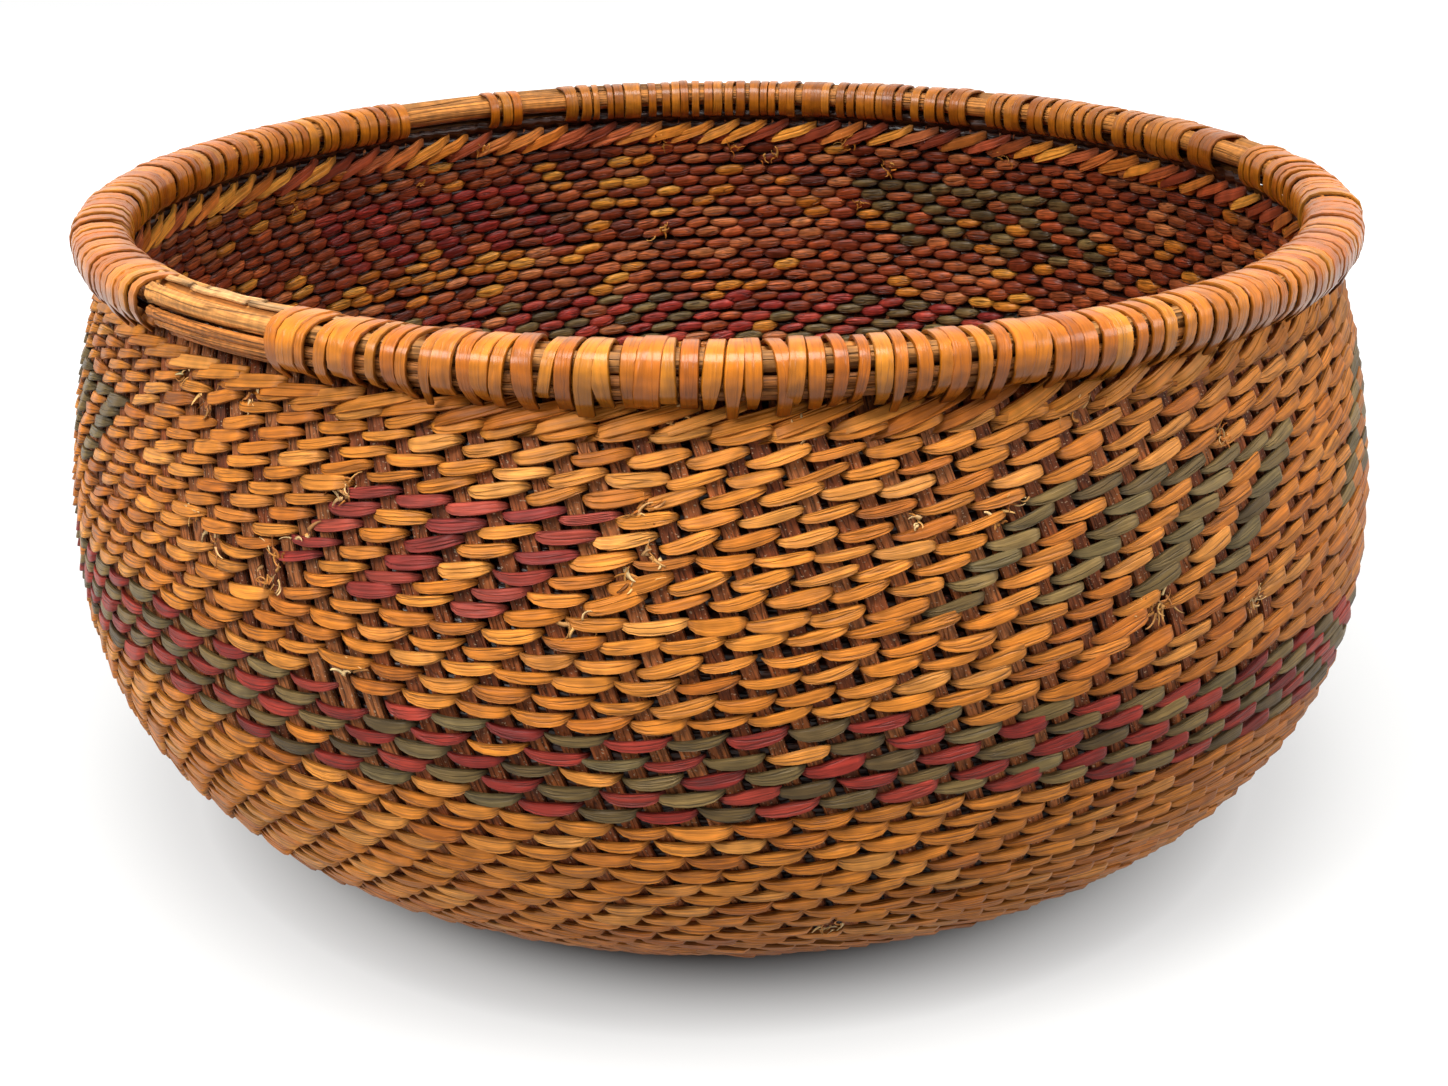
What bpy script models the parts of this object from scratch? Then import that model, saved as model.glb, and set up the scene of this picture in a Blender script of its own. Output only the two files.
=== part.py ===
"""Round-bellied twined basket with a lashed rim.

The basket is built the way it is woven. Two layers of rods cross in the middle of the base, and each runs
on at both ends as a warp: out through the base, round the belly and up to the rim, leaning to one side on
the wall. Doubled rods are added between them where the base widens. The weft covers the warps outside and
inside. A twined border course of two strands holds their tops, and the rim is a hoop rod and two split
rods, bound together by a lashing that is missing in places.

Units are metres, +Z is up, the base rests on Z = 0, and the front of the basket faces -Y.
"""

import math

import bmesh
import bpy
from mathutils import Matrix, Vector

# Overall form, on the outside of the weft
RIM_HEIGHT = 0.1345          # middle of the rim above the floor
RIM_RADIUS = 0.1340          # middle of the rim's bundle
NECK_INSET = 0.0015          # the wall's outside runs up into the rim this far inside its middle
BELLY_SWELL = 0.0135         # the widest place stands this far out from the rim's middle
BELLY_DROP = 0.0680          # from the rim's middle down to the widest place
BASE_RADIUS = 0.0670         # edge of the flat base
NECK_POWER = 1.93            # how quickly the wall draws in towards the neck
BELLY_POWER = 2.29           # 2 is an ellipse, more is a squarer turn into the base

# Rim bundle
RIM_HALF_WIDTH = 0.00605
RIM_HALF_HEIGHT = 0.00485
RIM_CORNER = 0.0022
LASHING_THICKNESS = 0.00105
LASHING_RIB_DEPTH = 0.00035
LASHING_TURN_PITCH = 0.0033
TURNS_PER_RIB = 5            # one rib in the solid stands for this many turns of the strand
SPLIT_ROD_END_GAP = 0.0030   # between the cut ends of the split rods

# Where the rim's lashing starts and ends, in degrees anticlockwise from +X, seen from above
LASHING_SPANS = {
    "rim_lashing_front": (236.5, 304.0),
    "rim_lashing_right": (304.8, 371.4),
    "rim_lashing_back_right": (377.4, 414.1),
    "rim_lashing_back": (416.1, 470.2),
    "rim_lashing_short": (475.1, 479.4),
    "rim_lashing_left": (490.4, 580.6),
}
SPLIT_ROD_END_ANGLE = 220.6  # the cut ends show here

# Wall, from the outside in
WEFT_THICKNESS = 0.0015
WEFT_RIB_DEPTH = 0.0008
WARP_THICKNESS = 0.0015
INNER_WEFT_THICKNESS = 0.0015
INNER_RIB_DEPTH = 0.0008
WARP_WIDTH = 0.0030
WARP_LEAN = 21.0             # degrees that a warp travels round the wall, from the base's edge to the neck
RODS_PER_LAYER = 4           # starting rods in each of the two layers of the cross
CROSS_HALF_LENGTH = 0.0070   # straight part of a starting rod, from the middle of the base
FAN_RADIUS = 0.0103          # where the starting rods have fanned out into warps
ADDED_ROD_RADIUS = 0.0335    # turn of a doubled rod, added between two starting warps
ADDED_ROD_LEG = 0.0045       # from the turn to where its two legs run as warps

# Courses of weft
COURSE_PITCH = 0.00342
COURSES_PER_RIB = 4          # one rib in the solid stands for this many courses
UPPER_COURSES = 14
BAND_COURSES = 5

# Border course under the rim
BORDER_STRAND_RADIUS = 0.0009
BORDER_HALF_HEIGHT = 0.0013  # how far a strand rises and falls in the twist
BORDER_CORNER_SHARE = 0.80   # share of the twist's depth that a straight step keeps over a warp's edge
STEPS_PER_TWIST = 4

# Underside of the base
BASE_GROOVE_WIDTH = 0.0016
BASE_GROOVE_PITCH = 0.0170

# Clearances and facets
FIT_GAP = 0.0003             # between pieces that touch
TURNED_STEPS = 28            # facets round the wall
HOOP_STEPS = 40              # facets round the rim
HOOP_ROD_SIDES = 8
OUTLINE_STEPS = 300          # samples on each half of the wall's outline
SEARCH_STEPS = 40            # halvings when a height is looked for on the outline
CUTTER_REACH = 2             # a cutter is this many times as big as what it cuts

# Worked out from the values above
NECK_RADIUS = RIM_RADIUS - NECK_INSET
BELLY_RADIUS = RIM_RADIUS + BELLY_SWELL
STARTING_WARPS = 4 * RODS_PER_LAYER
WARPS_PER_SECTOR = 3         # a starting warp and the two legs of one added rod
NUMBER_OF_WARPS = STARTING_WARPS * WARPS_PER_SECTOR
FACET_SLACK = BELLY_RADIUS * (1 - math.cos(math.pi / TURNED_STEPS))
WARP_TRAVEL_SLACK = 0.0002   # a leaning warp cuts the corner between two of its points
WARP_OUTER_DEPTH = WEFT_THICKNESS + FIT_GAP + FACET_SLACK
WARP_MIDDLE_DEPTH = WARP_OUTER_DEPTH + WARP_THICKNESS / 2
INNER_WEFT_DEPTH = WARP_OUTER_DEPTH + WARP_THICKNESS + FIT_GAP + WARP_TRAVEL_SLACK
WALL_THICKNESS = INNER_WEFT_DEPTH + INNER_WEFT_THICKNESS
CHANNEL_HALF_WIDTH = RIM_HALF_WIDTH - LASHING_THICKNESS
CHANNEL_HALF_HEIGHT = RIM_HALF_HEIGHT - LASHING_THICKNESS
CHANNEL_CORNER = RIM_CORNER - LASHING_THICKNESS / 2
HOOP_ROD_RADIUS = (CHANNEL_HALF_WIDTH - 1.5 * FIT_GAP) / 2
HOOP_ROD_RISE = CHANNEL_HALF_HEIGHT - HOOP_ROD_RADIUS - 2 * FIT_GAP
BORDER_HALF_DEPTH = (WARP_THICKNESS / 2 + FIT_GAP + BORDER_STRAND_RADIUS) / BORDER_CORNER_SHARE


def wall_outline():
    """Radius and height of the weft's outside, from the rim's middle down and in to the base's centre."""
    points = []
    for step in range(OUTLINE_STEPS + 1):
        share = step / OUTLINE_STEPS
        draw_in = (BELLY_RADIUS - NECK_RADIUS) * (1 - share) ** NECK_POWER
        points.append((BELLY_RADIUS - draw_in, RIM_HEIGHT - BELLY_DROP * share))
    for step in range(1, OUTLINE_STEPS + 1):
        turn = step / OUTLINE_STEPS * math.pi / 2
        across = max(math.cos(turn), 0.0) ** (2 / BELLY_POWER)
        down = math.sin(turn) ** (2 / BELLY_POWER)
        radius = BASE_RADIUS + (BELLY_RADIUS - BASE_RADIUS) * across
        points.append((radius, (RIM_HEIGHT - BELLY_DROP) * (1 - down)))
    points.append((0.0, 0.0))
    return points


def running_lengths(points):
    """Distance along the outline of each of its points."""
    lengths = [0.0]
    for here, there in zip(points, points[1:]):
        lengths.append(lengths[-1] + math.dist(here, there))
    return lengths


OUTLINE = wall_outline()
LENGTHS = running_lengths(OUTLINE)


def outline_point(distance):
    """Point on the outline at a distance from its top."""
    for index in range(1, len(LENGTHS)):
        if LENGTHS[index] >= distance or index == len(LENGTHS) - 1:
            share = (distance - LENGTHS[index - 1]) / (LENGTHS[index] - LENGTHS[index - 1])
            here = Vector(OUTLINE[index - 1])
            return here.lerp(Vector(OUTLINE[index]), share)
    return Vector(OUTLINE[-1])


def outward_at(distance):
    """Unit normal of the outline, pointing out of the basket."""
    reach = COURSE_PITCH / 4
    along = outline_point(distance + reach) - outline_point(max(distance - reach, 0.0))
    return Vector((-along.y, along.x)).normalized()


def layer_point(distance, depth):
    """Radius and height at a depth inside the wall."""
    return outline_point(distance) - outward_at(distance) * depth


def distance_below(height, depth):
    """Distance along the outline at which a layer of the wall has come down to a height."""
    low, high = 0.0, LENGTHS[OUTLINE_STEPS]
    for _ in range(SEARCH_STEPS):
        middle = (low + high) / 2
        if layer_point(middle, depth).y > height:
            low = middle
        else:
            high = middle
    return high


# Zones of the wall, as distances along the outline
EDGE_DISTANCE = LENGTHS[-2]
RIM_UNDERSIDE = RIM_HEIGHT - RIM_HALF_HEIGHT - FIT_GAP
WARP_TOP = distance_below(RIM_UNDERSIDE, WARP_OUTER_DEPTH)
BORDER_TOP_ROOM = BORDER_HALF_HEIGHT + BORDER_STRAND_RADIUS
BORDER_MIDDLE = distance_below(RIM_UNDERSIDE - BORDER_TOP_ROOM, WARP_MIDDLE_DEPTH)
UPPER_START = BORDER_MIDDLE + BORDER_TOP_ROOM + FIT_GAP
BAND_START = UPPER_START + UPPER_COURSES * COURSE_PITCH
LOWER_START = BAND_START + BAND_COURSES * COURSE_PITCH
BASE_HOLE_RADIUS = (FAN_RADIUS + FIT_GAP) / math.cos(math.pi / TURNED_STEPS)
BASE_HOLE_DISTANCE = LENGTHS[-1] - BASE_HOLE_RADIUS


def even_steps(start, end, count):
    return [start + (end - start) * step / count for step in range(count + 1)]


UPPER_STATIONS = even_steps(UPPER_START, BAND_START, 2)
BAND_STATIONS = even_steps(BAND_START, LOWER_START, 1)
LOWER_STATIONS = even_steps(LOWER_START, EDGE_DISTANCE, 5)
BASE_STATIONS = [EDGE_DISTANCE, BASE_HOLE_DISTANCE]


def material(name, colour, roughness):
    """Plain Principled surface."""
    surface = bpy.data.materials.new(name)
    surface.use_nodes = True
    shader = surface.node_tree.nodes["Principled BSDF"]
    shader.inputs["Base Color"].default_value = (*colour, 1.0)
    shader.inputs["Roughness"].default_value = roughness
    shader.inputs["Metallic"].default_value = 0.0
    return surface


def new_collection(name):
    collection = bpy.data.collections.new(name)
    bpy.context.scene.collection.children.link(collection)
    return collection


def add_object(name, data, surface, collection):
    """Put a mesh or curve in the scene with its own material."""
    piece = bpy.data.objects.new(name, data)
    collection.objects.link(piece)
    data.materials.append(surface)
    return piece


def mesh_from(bm, name, smooth=True):
    """Turn a bmesh into a mesh datablock."""
    mesh = bpy.data.meshes.new(name)
    bm.to_mesh(mesh)
    bm.free()
    if smooth:
        mesh.shade_smooth()
    return mesh


def profile_mesh(name, points):
    """Closed outline of radius and height, standing at +X."""
    bm = bmesh.new()
    verts = [bm.verts.new((radius, 0.0, height)) for radius, height in points]
    for here, there in zip(verts, verts[1:] + verts[:1]):
        bm.edges.new((here, there))
    return mesh_from(bm, name, smooth=False)


def turn(piece, steps):
    """Turn a closed outline about the vertical axis."""
    screw = piece.modifiers.new("Screw", "SCREW")
    screw.axis = "Z"
    screw.angle = 2 * math.pi
    screw.steps = steps
    screw.render_steps = steps
    screw.use_merge_vertices = True
    screw.merge_threshold = 0.00001
    screw.use_smooth_shade = True
    return piece


def ribbed_line(start, end, ribs, depth):
    """Points on a ribbed face, from the top down. A rib bulges between two grooves."""
    points = []
    for rib in range(ribs):
        groove = start + (end - start) * rib / ribs
        crest = start + (end - start) * (rib + 0.5) / ribs
        points.append(layer_point(groove, depth + WEFT_RIB_DEPTH))
        points.append(layer_point(crest, depth))
    points.append(layer_point(end, depth + WEFT_RIB_DEPTH))
    return points


def plain_line(stations, depth):
    return [layer_point(distance, depth) for distance in stations]


def trimmed(stations):
    """Stations of one zone, held half a gap back from its neighbours at both ends."""
    return [stations[0] + FIT_GAP / 2] + stations[1:-1] + [stations[-1] - FIT_GAP / 2]


def outer_weft(name, stations, courses_per_rib, surface, collection):
    """Outside face of the weft over one zone of the wall, with its courses as ribs."""
    zone = trimmed(stations)
    ribs = max(1, round((zone[-1] - zone[0]) / (COURSE_PITCH * courses_per_rib)))
    outside = ribbed_line(zone[0], zone[-1], ribs, 0.0)
    inside = plain_line(zone, WEFT_THICKNESS)
    mesh = profile_mesh(name, outside + inside[::-1])
    return turn(add_object(name, mesh, surface, collection), TURNED_STEPS)


def inner_flat_line(stations):
    return plain_line(stations, WALL_THICKNESS)


def inner_ribbed_line(stations):
    """Points on the wall's inner face, from the top down. A groove lies at each station, a rib between."""
    points = []
    for here, there in zip(stations, stations[1:]):
        crest = (layer_point(here, WALL_THICKNESS) + layer_point(there, WALL_THICKNESS)) / 2
        points.append(layer_point(here, WALL_THICKNESS - INNER_RIB_DEPTH))
        points.append(crest)
    points.append(layer_point(stations[-1], WALL_THICKNESS - INNER_RIB_DEPTH))
    return points


def inner_weft(name, stations, face_line, surface, collection):
    """Inside face of the weft over one zone, close against the warps."""
    zone = trimmed(stations)
    outside = plain_line(zone, INNER_WEFT_DEPTH)
    mesh = profile_mesh(name, outside + face_line(zone)[::-1])
    return turn(add_object(name, mesh, surface, collection), TURNED_STEPS)


def base_underside():
    """Flat lands between grooves, from the base's edge in to its hole."""
    outer = outline_point(BASE_STATIONS[0] + FIT_GAP / 2).x
    inner = outline_point(BASE_STATIONS[1] - FIT_GAP / 2).x
    points = [Vector((outer, 0.0))]
    grooves = int((outer - inner) / BASE_GROOVE_PITCH)
    for groove in range(1, grooves + 1):
        middle = outer - groove * (outer - inner) / (grooves + 1)
        points.append(Vector((middle + BASE_GROOVE_WIDTH / 2, 0.0)))
        points.append(Vector((middle, WEFT_RIB_DEPTH)))
        points.append(Vector((middle - BASE_GROOVE_WIDTH / 2, 0.0)))
    points.append(Vector((inner, 0.0)))
    return points


def outer_base(name, surface, collection):
    """Weft under the base: the flat lands that the basket stands on."""
    inside = plain_line(trimmed(BASE_STATIONS), WEFT_THICKNESS)
    mesh = profile_mesh(name, base_underside() + inside[::-1])
    return turn(add_object(name, mesh, surface, collection), TURNED_STEPS)


def warp_angle(warp, distance):
    """Azimuth of a warp. It runs straight in the base and at the border, and leans between them."""
    share = (EDGE_DISTANCE - distance) / (EDGE_DISTANCE - UPPER_START)
    lean = WARP_LEAN * min(max(share, 0.0), 1.0)
    return math.radians((warp + 0.5) * 360 / NUMBER_OF_WARPS - lean)


def warp_line(warp, stations):
    """Middle of a warp's outer face at each station, and the direction across it."""
    line = []
    for distance in stations:
        radius, height = layer_point(distance, WARP_OUTER_DEPTH)
        azimuth = warp_angle(warp, distance)
        along = Vector((math.cos(azimuth), math.sin(azimuth), 0.0))
        across = Vector((-along.y, along.x, 0.0))
        line.append((along * radius + Vector((0.0, 0.0, height)), across))
    return line


def starting_line(layer, rod, stations):
    """A rod of the starting cross, from rim to rim. Layer 0 runs along X and dips under layer 1."""
    spin = Matrix.Rotation(math.radians(90 * layer), 4, "Z")
    shift = (rod - (RODS_PER_LAYER - 1) / 2) * (WARP_WIDTH + FIT_GAP)
    height = layer_point(LENGTHS[-1], WARP_OUTER_DEPTH).y if layer else FIT_GAP
    across = spin @ Vector((0.0, 1.0, 0.0))
    straight = [(spin @ Vector((side * CROSS_HALF_LENGTH, shift, height)), across) for side in (1, -1)]
    quarter = NUMBER_OF_WARPS // 4
    place = WARPS_PER_SECTOR * rod + WARPS_PER_SECTOR // 2 - quarter // 2
    near = warp_line(place + quarter * layer, stations)
    far = warp_line(quarter * (layer + 2) - place - 1, stations)
    turned = [(point, -sideways) for point, sideways in far]
    return near + straight + turned[::-1]


def added_line(sector, stations):
    """A doubled rod: up one leg's warp from its turn in the base, and up the next one's."""
    first = WARPS_PER_SECTOR * sector + WARPS_PER_SECTOR // 2 + 1
    near = warp_line(first, stations)
    far = warp_line(first + 1, stations)
    middle = (near[-1][0] + far[-1][0]) / 2
    outward = Vector((middle.x, middle.y, 0.0)).normalized()
    tip = outward * ADDED_ROD_RADIUS + Vector((0.0, 0.0, middle.z))
    turned = [(point, -sideways) for point, sideways in far]
    return near + [(tip, -outward)] + turned[::-1]


def flat_rod(name, line, surface, collection):
    """Lay a flat rod as a strip along its line, facing out, and give it its thickness inwards."""
    bm = bmesh.new()
    half = WARP_WIDTH / 2
    verts = [bm.verts.new(middle - across * half) for middle, across in line]
    edges = [bm.edges.new(pair) for pair in zip(verts, verts[1:])]
    bmesh.ops.extrude_edge_only(bm, edges=edges)
    for vert, (middle, across) in zip(verts, line):
        linked = [edge.other_vert(vert) for edge in vert.link_edges]
        opposite = next(other for other in linked if other not in verts)
        opposite.co = middle + across * half
    bmesh.ops.recalc_face_normals(bm, faces=bm.faces)
    lowest = min(bm.faces, key=lambda face: face.calc_center_median().z)
    if lowest.normal.z > 0:
        bmesh.ops.reverse_faces(bm, faces=bm.faces)
    piece = add_object(name, mesh_from(bm, name, smooth=False), surface, collection)
    solidify = piece.modifiers.new("Solidify", "SOLIDIFY")
    solidify.thickness = WARP_THICKNESS
    solidify.offset = -1.0
    return piece


def border_strand(name, phase, surface, collection):
    """One strand of the border. It passes outside one warp and inside the next."""
    twists = NUMBER_OF_WARPS // 2
    count = twists * STEPS_PER_TWIST
    middle = layer_point(BORDER_MIDDLE, WARP_MIDDLE_DEPTH)
    outward = outward_at(BORDER_MIDDLE)
    upward = Vector((-outward.y, outward.x))
    first_azimuth = warp_angle(0, BORDER_MIDDLE)
    curve = bpy.data.curves.new(name, "CURVE")
    curve.dimensions = "3D"
    curve.bevel_depth = BORDER_STRAND_RADIUS
    curve.bevel_resolution = 0
    spline = curve.splines.new("POLY")
    spline.points.add(count - 1)
    spline.use_cyclic_u = True
    for index, point in enumerate(spline.points):
        twist = 2 * math.pi * index / STEPS_PER_TWIST + phase
        offset = outward * math.cos(twist) * BORDER_HALF_DEPTH
        offset += upward * math.sin(twist) * BORDER_HALF_HEIGHT
        radius, height = middle + offset
        azimuth = first_azimuth + 2 * math.pi * index / count
        point.co = (radius * math.cos(azimuth), radius * math.sin(azimuth), height, 1.0)
    return add_object(name, curve, surface, collection)


def rounded_box(half_width, half_height, corner, middle_radius, middle_height):
    """Eight-sided section with cut corners, running down its outer side first."""
    shape = [
        (half_width - corner, half_height),
        (half_width, half_height - corner),
        (half_width, corner - half_height),
        (half_width - corner, -half_height),
        (corner - half_width, -half_height),
        (-half_width, corner - half_height),
        (-half_width, half_height - corner),
        (corner - half_width, half_height),
    ]
    return [(middle_radius + across, middle_height + up) for across, up in shape]


def hoop_rod(name, surface, collection):
    """Round rod that carries the inside of the rim."""
    radius = RIM_RADIUS - HOOP_ROD_RADIUS - FIT_GAP / 2
    height = RIM_HEIGHT + HOOP_ROD_RISE
    points = []
    for side in range(HOOP_ROD_SIDES):
        angle = -2 * math.pi * (side + 0.5) / HOOP_ROD_SIDES
        across = HOOP_ROD_RADIUS * math.cos(angle)
        up = HOOP_ROD_RADIUS * math.sin(angle)
        points.append((radius + across, height + up))
    return turn(add_object(name, profile_mesh(name, points), surface, collection), HOOP_STEPS)


def split_rod(name, side, gap_cutter, surface, collection):
    """Split rod on the outside of the rim, with its two cut ends at the gap. Side 1 is up, -1 is down."""
    inside = RIM_RADIUS + FIT_GAP / 2
    outside = RIM_RADIUS + CHANNEL_HALF_WIDTH - FIT_GAP
    near = FIT_GAP / 2
    far = CHANNEL_HALF_HEIGHT - FIT_GAP
    shape = [(outside, near), (inside, near), (inside, far), (outside - CHANNEL_CORNER, far)]
    shape.append((outside, far - CHANNEL_CORNER))
    points = [(radius, RIM_HEIGHT + side * up) for radius, up in shape]
    mesh = profile_mesh(name, points[::side])
    piece = turn(add_object(name, mesh, surface, collection), HOOP_STEPS)
    cut(piece, gap_cutter, "DIFFERENCE")
    return piece


def cut(piece, cutter, operation):
    boolean = piece.modifiers.new("Boolean", "BOOLEAN")
    boolean.operation = operation
    boolean.solver = "EXACT"
    boolean.object = cutter


def make_cutter(cutter):
    cutter.hide_render = True
    cutter.display_type = "WIRE"
    return cutter


def rod_end_cutter(surface, collection):
    """Block that parts the split rods at their cut ends."""
    azimuth = math.radians(SPLIT_ROD_END_ANGLE)
    across = 2 * RIM_HALF_WIDTH * CUTTER_REACH
    tall = 2 * RIM_HALF_HEIGHT * CUTTER_REACH
    bm = bmesh.new()
    bmesh.ops.create_cube(bm, size=1.0, matrix=Matrix.Diagonal((across, SPLIT_ROD_END_GAP, tall, 1.0)))
    cutter = add_object("cut_rod_ends", mesh_from(bm, "cut_rod_ends", smooth=False), surface, collection)
    cutter.location = (RIM_RADIUS * math.cos(azimuth), RIM_RADIUS * math.sin(azimuth), RIM_HEIGHT)
    cutter.rotation_euler = (0.0, 0.0, azimuth)
    return make_cutter(cutter)


def hoop_channel_cutter(surface, collection):
    """Channel through the lashing in which the rods of the rim lie."""
    points = rounded_box(CHANNEL_HALF_WIDTH, CHANNEL_HALF_HEIGHT, CHANNEL_CORNER, RIM_RADIUS, RIM_HEIGHT)
    mesh = profile_mesh("cut_hoop_channel", points)
    cutter = add_object("cut_hoop_channel", mesh, surface, collection)
    return make_cutter(turn(cutter, HOOP_STEPS))


def lashing(name, start, end, channel, surface, collection):
    """One run of the lashing, with its turns as ribs, bored for the rods."""
    length = math.radians(end - start) * RIM_RADIUS
    ribs = max(2, round(length / (LASHING_TURN_PITCH * TURNS_PER_RIB)))
    steps = 2 * ribs
    step_angle = math.radians(end - start) / steps
    bm = bmesh.new()
    section = rounded_box(RIM_HALF_WIDTH, RIM_HALF_HEIGHT, RIM_CORNER, RIM_RADIUS, RIM_HEIGHT)
    verts = [bm.verts.new((radius, 0.0, height)) for radius, height in section]
    face = bm.faces.new(verts)
    bmesh.ops.spin(
        bm,
        geom=[face, *face.edges, *face.verts],
        cent=(0.0, 0.0, 0.0),
        axis=(0.0, 0.0, 1.0),
        dvec=(0.0, 0.0, 0.0),
        angle=math.radians(end - start),
        steps=steps,
        use_merge=False,
        use_duplicate=False,
    )
    for vert in bm.verts:
        azimuth = math.atan2(vert.co.y, vert.co.x) % (2 * math.pi)
        if round(azimuth / step_angle) % 2 == 0:
            pull_in(vert, azimuth)
    bmesh.ops.recalc_face_normals(bm, faces=bm.faces)
    piece = add_object(name, mesh_from(bm, name), surface, collection)
    piece.rotation_euler = (0.0, 0.0, math.radians(start))
    cut(piece, channel, "DIFFERENCE")
    return piece


def pull_in(vert, azimuth):
    """Draw one point of a groove towards the middle of the rim's section."""
    middle = Vector((RIM_RADIUS * math.cos(azimuth), RIM_RADIUS * math.sin(azimuth), RIM_HEIGHT))
    inward = (middle - vert.co).normalized()
    vert.co += inward * LASHING_RIB_DEPTH


def build():
    for old in list(bpy.data.objects):
        bpy.data.objects.remove(old, do_unlink=True)
    basket = new_collection("twined_basket")
    cutters = new_collection("cutters")

    straw = material("weft_golden", (0.53, 0.28, 0.08), 0.55)
    dark_straw = material("weft_inside", (0.17, 0.06, 0.03), 0.6)
    dyed = material("weft_dyed", (0.24, 0.08, 0.06), 0.6)
    bark = material("warp_bark", (0.15, 0.07, 0.035), 0.65)
    hoop_wood = material("hoop_wood", (0.5, 0.3, 0.13), 0.6)
    gloss = material("lashing_golden", (0.65, 0.33, 0.08), 0.4)

    wall = [WARP_TOP, *UPPER_STATIONS, *BAND_STATIONS[1:], *LOWER_STATIONS[1:]]
    fan_start = LENGTHS[-1] - FAN_RADIUS
    leg_start = LENGTHS[-1] - ADDED_ROD_RADIUS - ADDED_ROD_LEG
    for layer, layer_name in enumerate(("lower", "upper")):
        for rod in range(RODS_PER_LAYER):
            line = starting_line(layer, rod, wall + [fan_start])
            flat_rod(f"starting_rod_{layer_name}_{rod + 1}", line, bark, basket)
    for sector in range(STARTING_WARPS):
        line = added_line(sector, wall + [leg_start])
        flat_rod(f"added_rod_{sector + 1:02d}", line, bark, basket)

    outer_base("base_weft_outside", straw, basket)
    inner_weft("base_weft_inside", BASE_STATIONS, inner_flat_line, dark_straw, basket)
    outer_weft("lower_weft_outside", LOWER_STATIONS, COURSES_PER_RIB, straw, basket)
    inner_weft("lower_weft_inside", LOWER_STATIONS, inner_ribbed_line, dark_straw, basket)
    outer_weft("dyed_band_outside", BAND_STATIONS, 1, dyed, basket)
    inner_weft("dyed_band_inside", BAND_STATIONS, inner_ribbed_line, dyed, basket)
    outer_weft("upper_weft_outside", UPPER_STATIONS, COURSES_PER_RIB, straw, basket)
    inner_weft("upper_weft_inside", UPPER_STATIONS, inner_ribbed_line, dark_straw, basket)
    border_strand("border_strand_first", 0.0, straw, basket)
    border_strand("border_strand_second", math.pi, straw, basket)

    rod_ends = rod_end_cutter(bark, cutters)
    channel = hoop_channel_cutter(bark, cutters)
    hoop_rod("rim_hoop_rod", hoop_wood, basket)
    split_rod("rim_split_rod_lower", -1, rod_ends, hoop_wood, basket)
    split_rod("rim_split_rod_upper", 1, rod_ends, hoop_wood, basket)
    for name, (start, end) in LASHING_SPANS.items():
        lashing(name, start, end, channel, gloss, basket)


build()
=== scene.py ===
# %% [markdown]
# # A twined basket, woven over its solid model
#
# The real basket is a round-bellied bowl. Leaning brown warps run from the base to the rim, and flat strands
# of split root are twined about them in pairs: each strand passes outside two warps and then inside. The rim
# is a bundle of rods bound by a flat, glossy strand. The solid model has the right form, but its courses
# are only ribs, so this script weaves every stitch as a strand of its own.
#
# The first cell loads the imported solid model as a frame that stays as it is.

# %% Load the frame
import math

import bmesh
import bpy
import numpy as np
from mathutils import Matrix, Vector


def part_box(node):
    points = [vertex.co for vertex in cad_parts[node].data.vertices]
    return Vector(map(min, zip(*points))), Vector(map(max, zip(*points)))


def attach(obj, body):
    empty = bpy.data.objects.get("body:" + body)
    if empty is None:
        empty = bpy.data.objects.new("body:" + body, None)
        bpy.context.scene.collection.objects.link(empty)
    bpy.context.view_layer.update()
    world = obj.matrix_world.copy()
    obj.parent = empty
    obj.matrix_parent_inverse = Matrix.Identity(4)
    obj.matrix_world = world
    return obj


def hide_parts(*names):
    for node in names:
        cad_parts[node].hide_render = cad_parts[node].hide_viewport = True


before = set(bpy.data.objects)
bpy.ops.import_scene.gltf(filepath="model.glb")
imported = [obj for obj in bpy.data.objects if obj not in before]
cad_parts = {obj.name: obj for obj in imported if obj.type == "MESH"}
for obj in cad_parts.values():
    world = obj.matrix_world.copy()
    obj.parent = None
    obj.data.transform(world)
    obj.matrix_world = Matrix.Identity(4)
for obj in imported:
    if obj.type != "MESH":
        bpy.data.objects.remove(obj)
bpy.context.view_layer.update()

# %% [markdown]
# ## The wall's outline
#
# Every stitch lies on one curved wall. The outline of its outside is the solid model's own formula: a neck
# that draws in towards the rim, a belly, and a squarish turn into the flat base. A point on the wall is then
# given by three plain measures: the azimuth round the basket, the distance down the outline from the rim's
# middle, and the depth inside the outer face. Sampling the outline once lets numpy look up thousands of
# points at a time.

# %% Sample the outline
RIM_HEIGHT = 0.1345
RIM_RADIUS = 0.1340
NECK_RADIUS = RIM_RADIUS - 0.0015
BELLY_RADIUS = RIM_RADIUS + 0.0135
BELLY_DROP = 0.0680
BASE_RADIUS = 0.0670
NECK_POWER = 1.93
BELLY_POWER = 2.29
OUTLINE_SAMPLES = 600
EVEN_SAMPLES = 900

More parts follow.
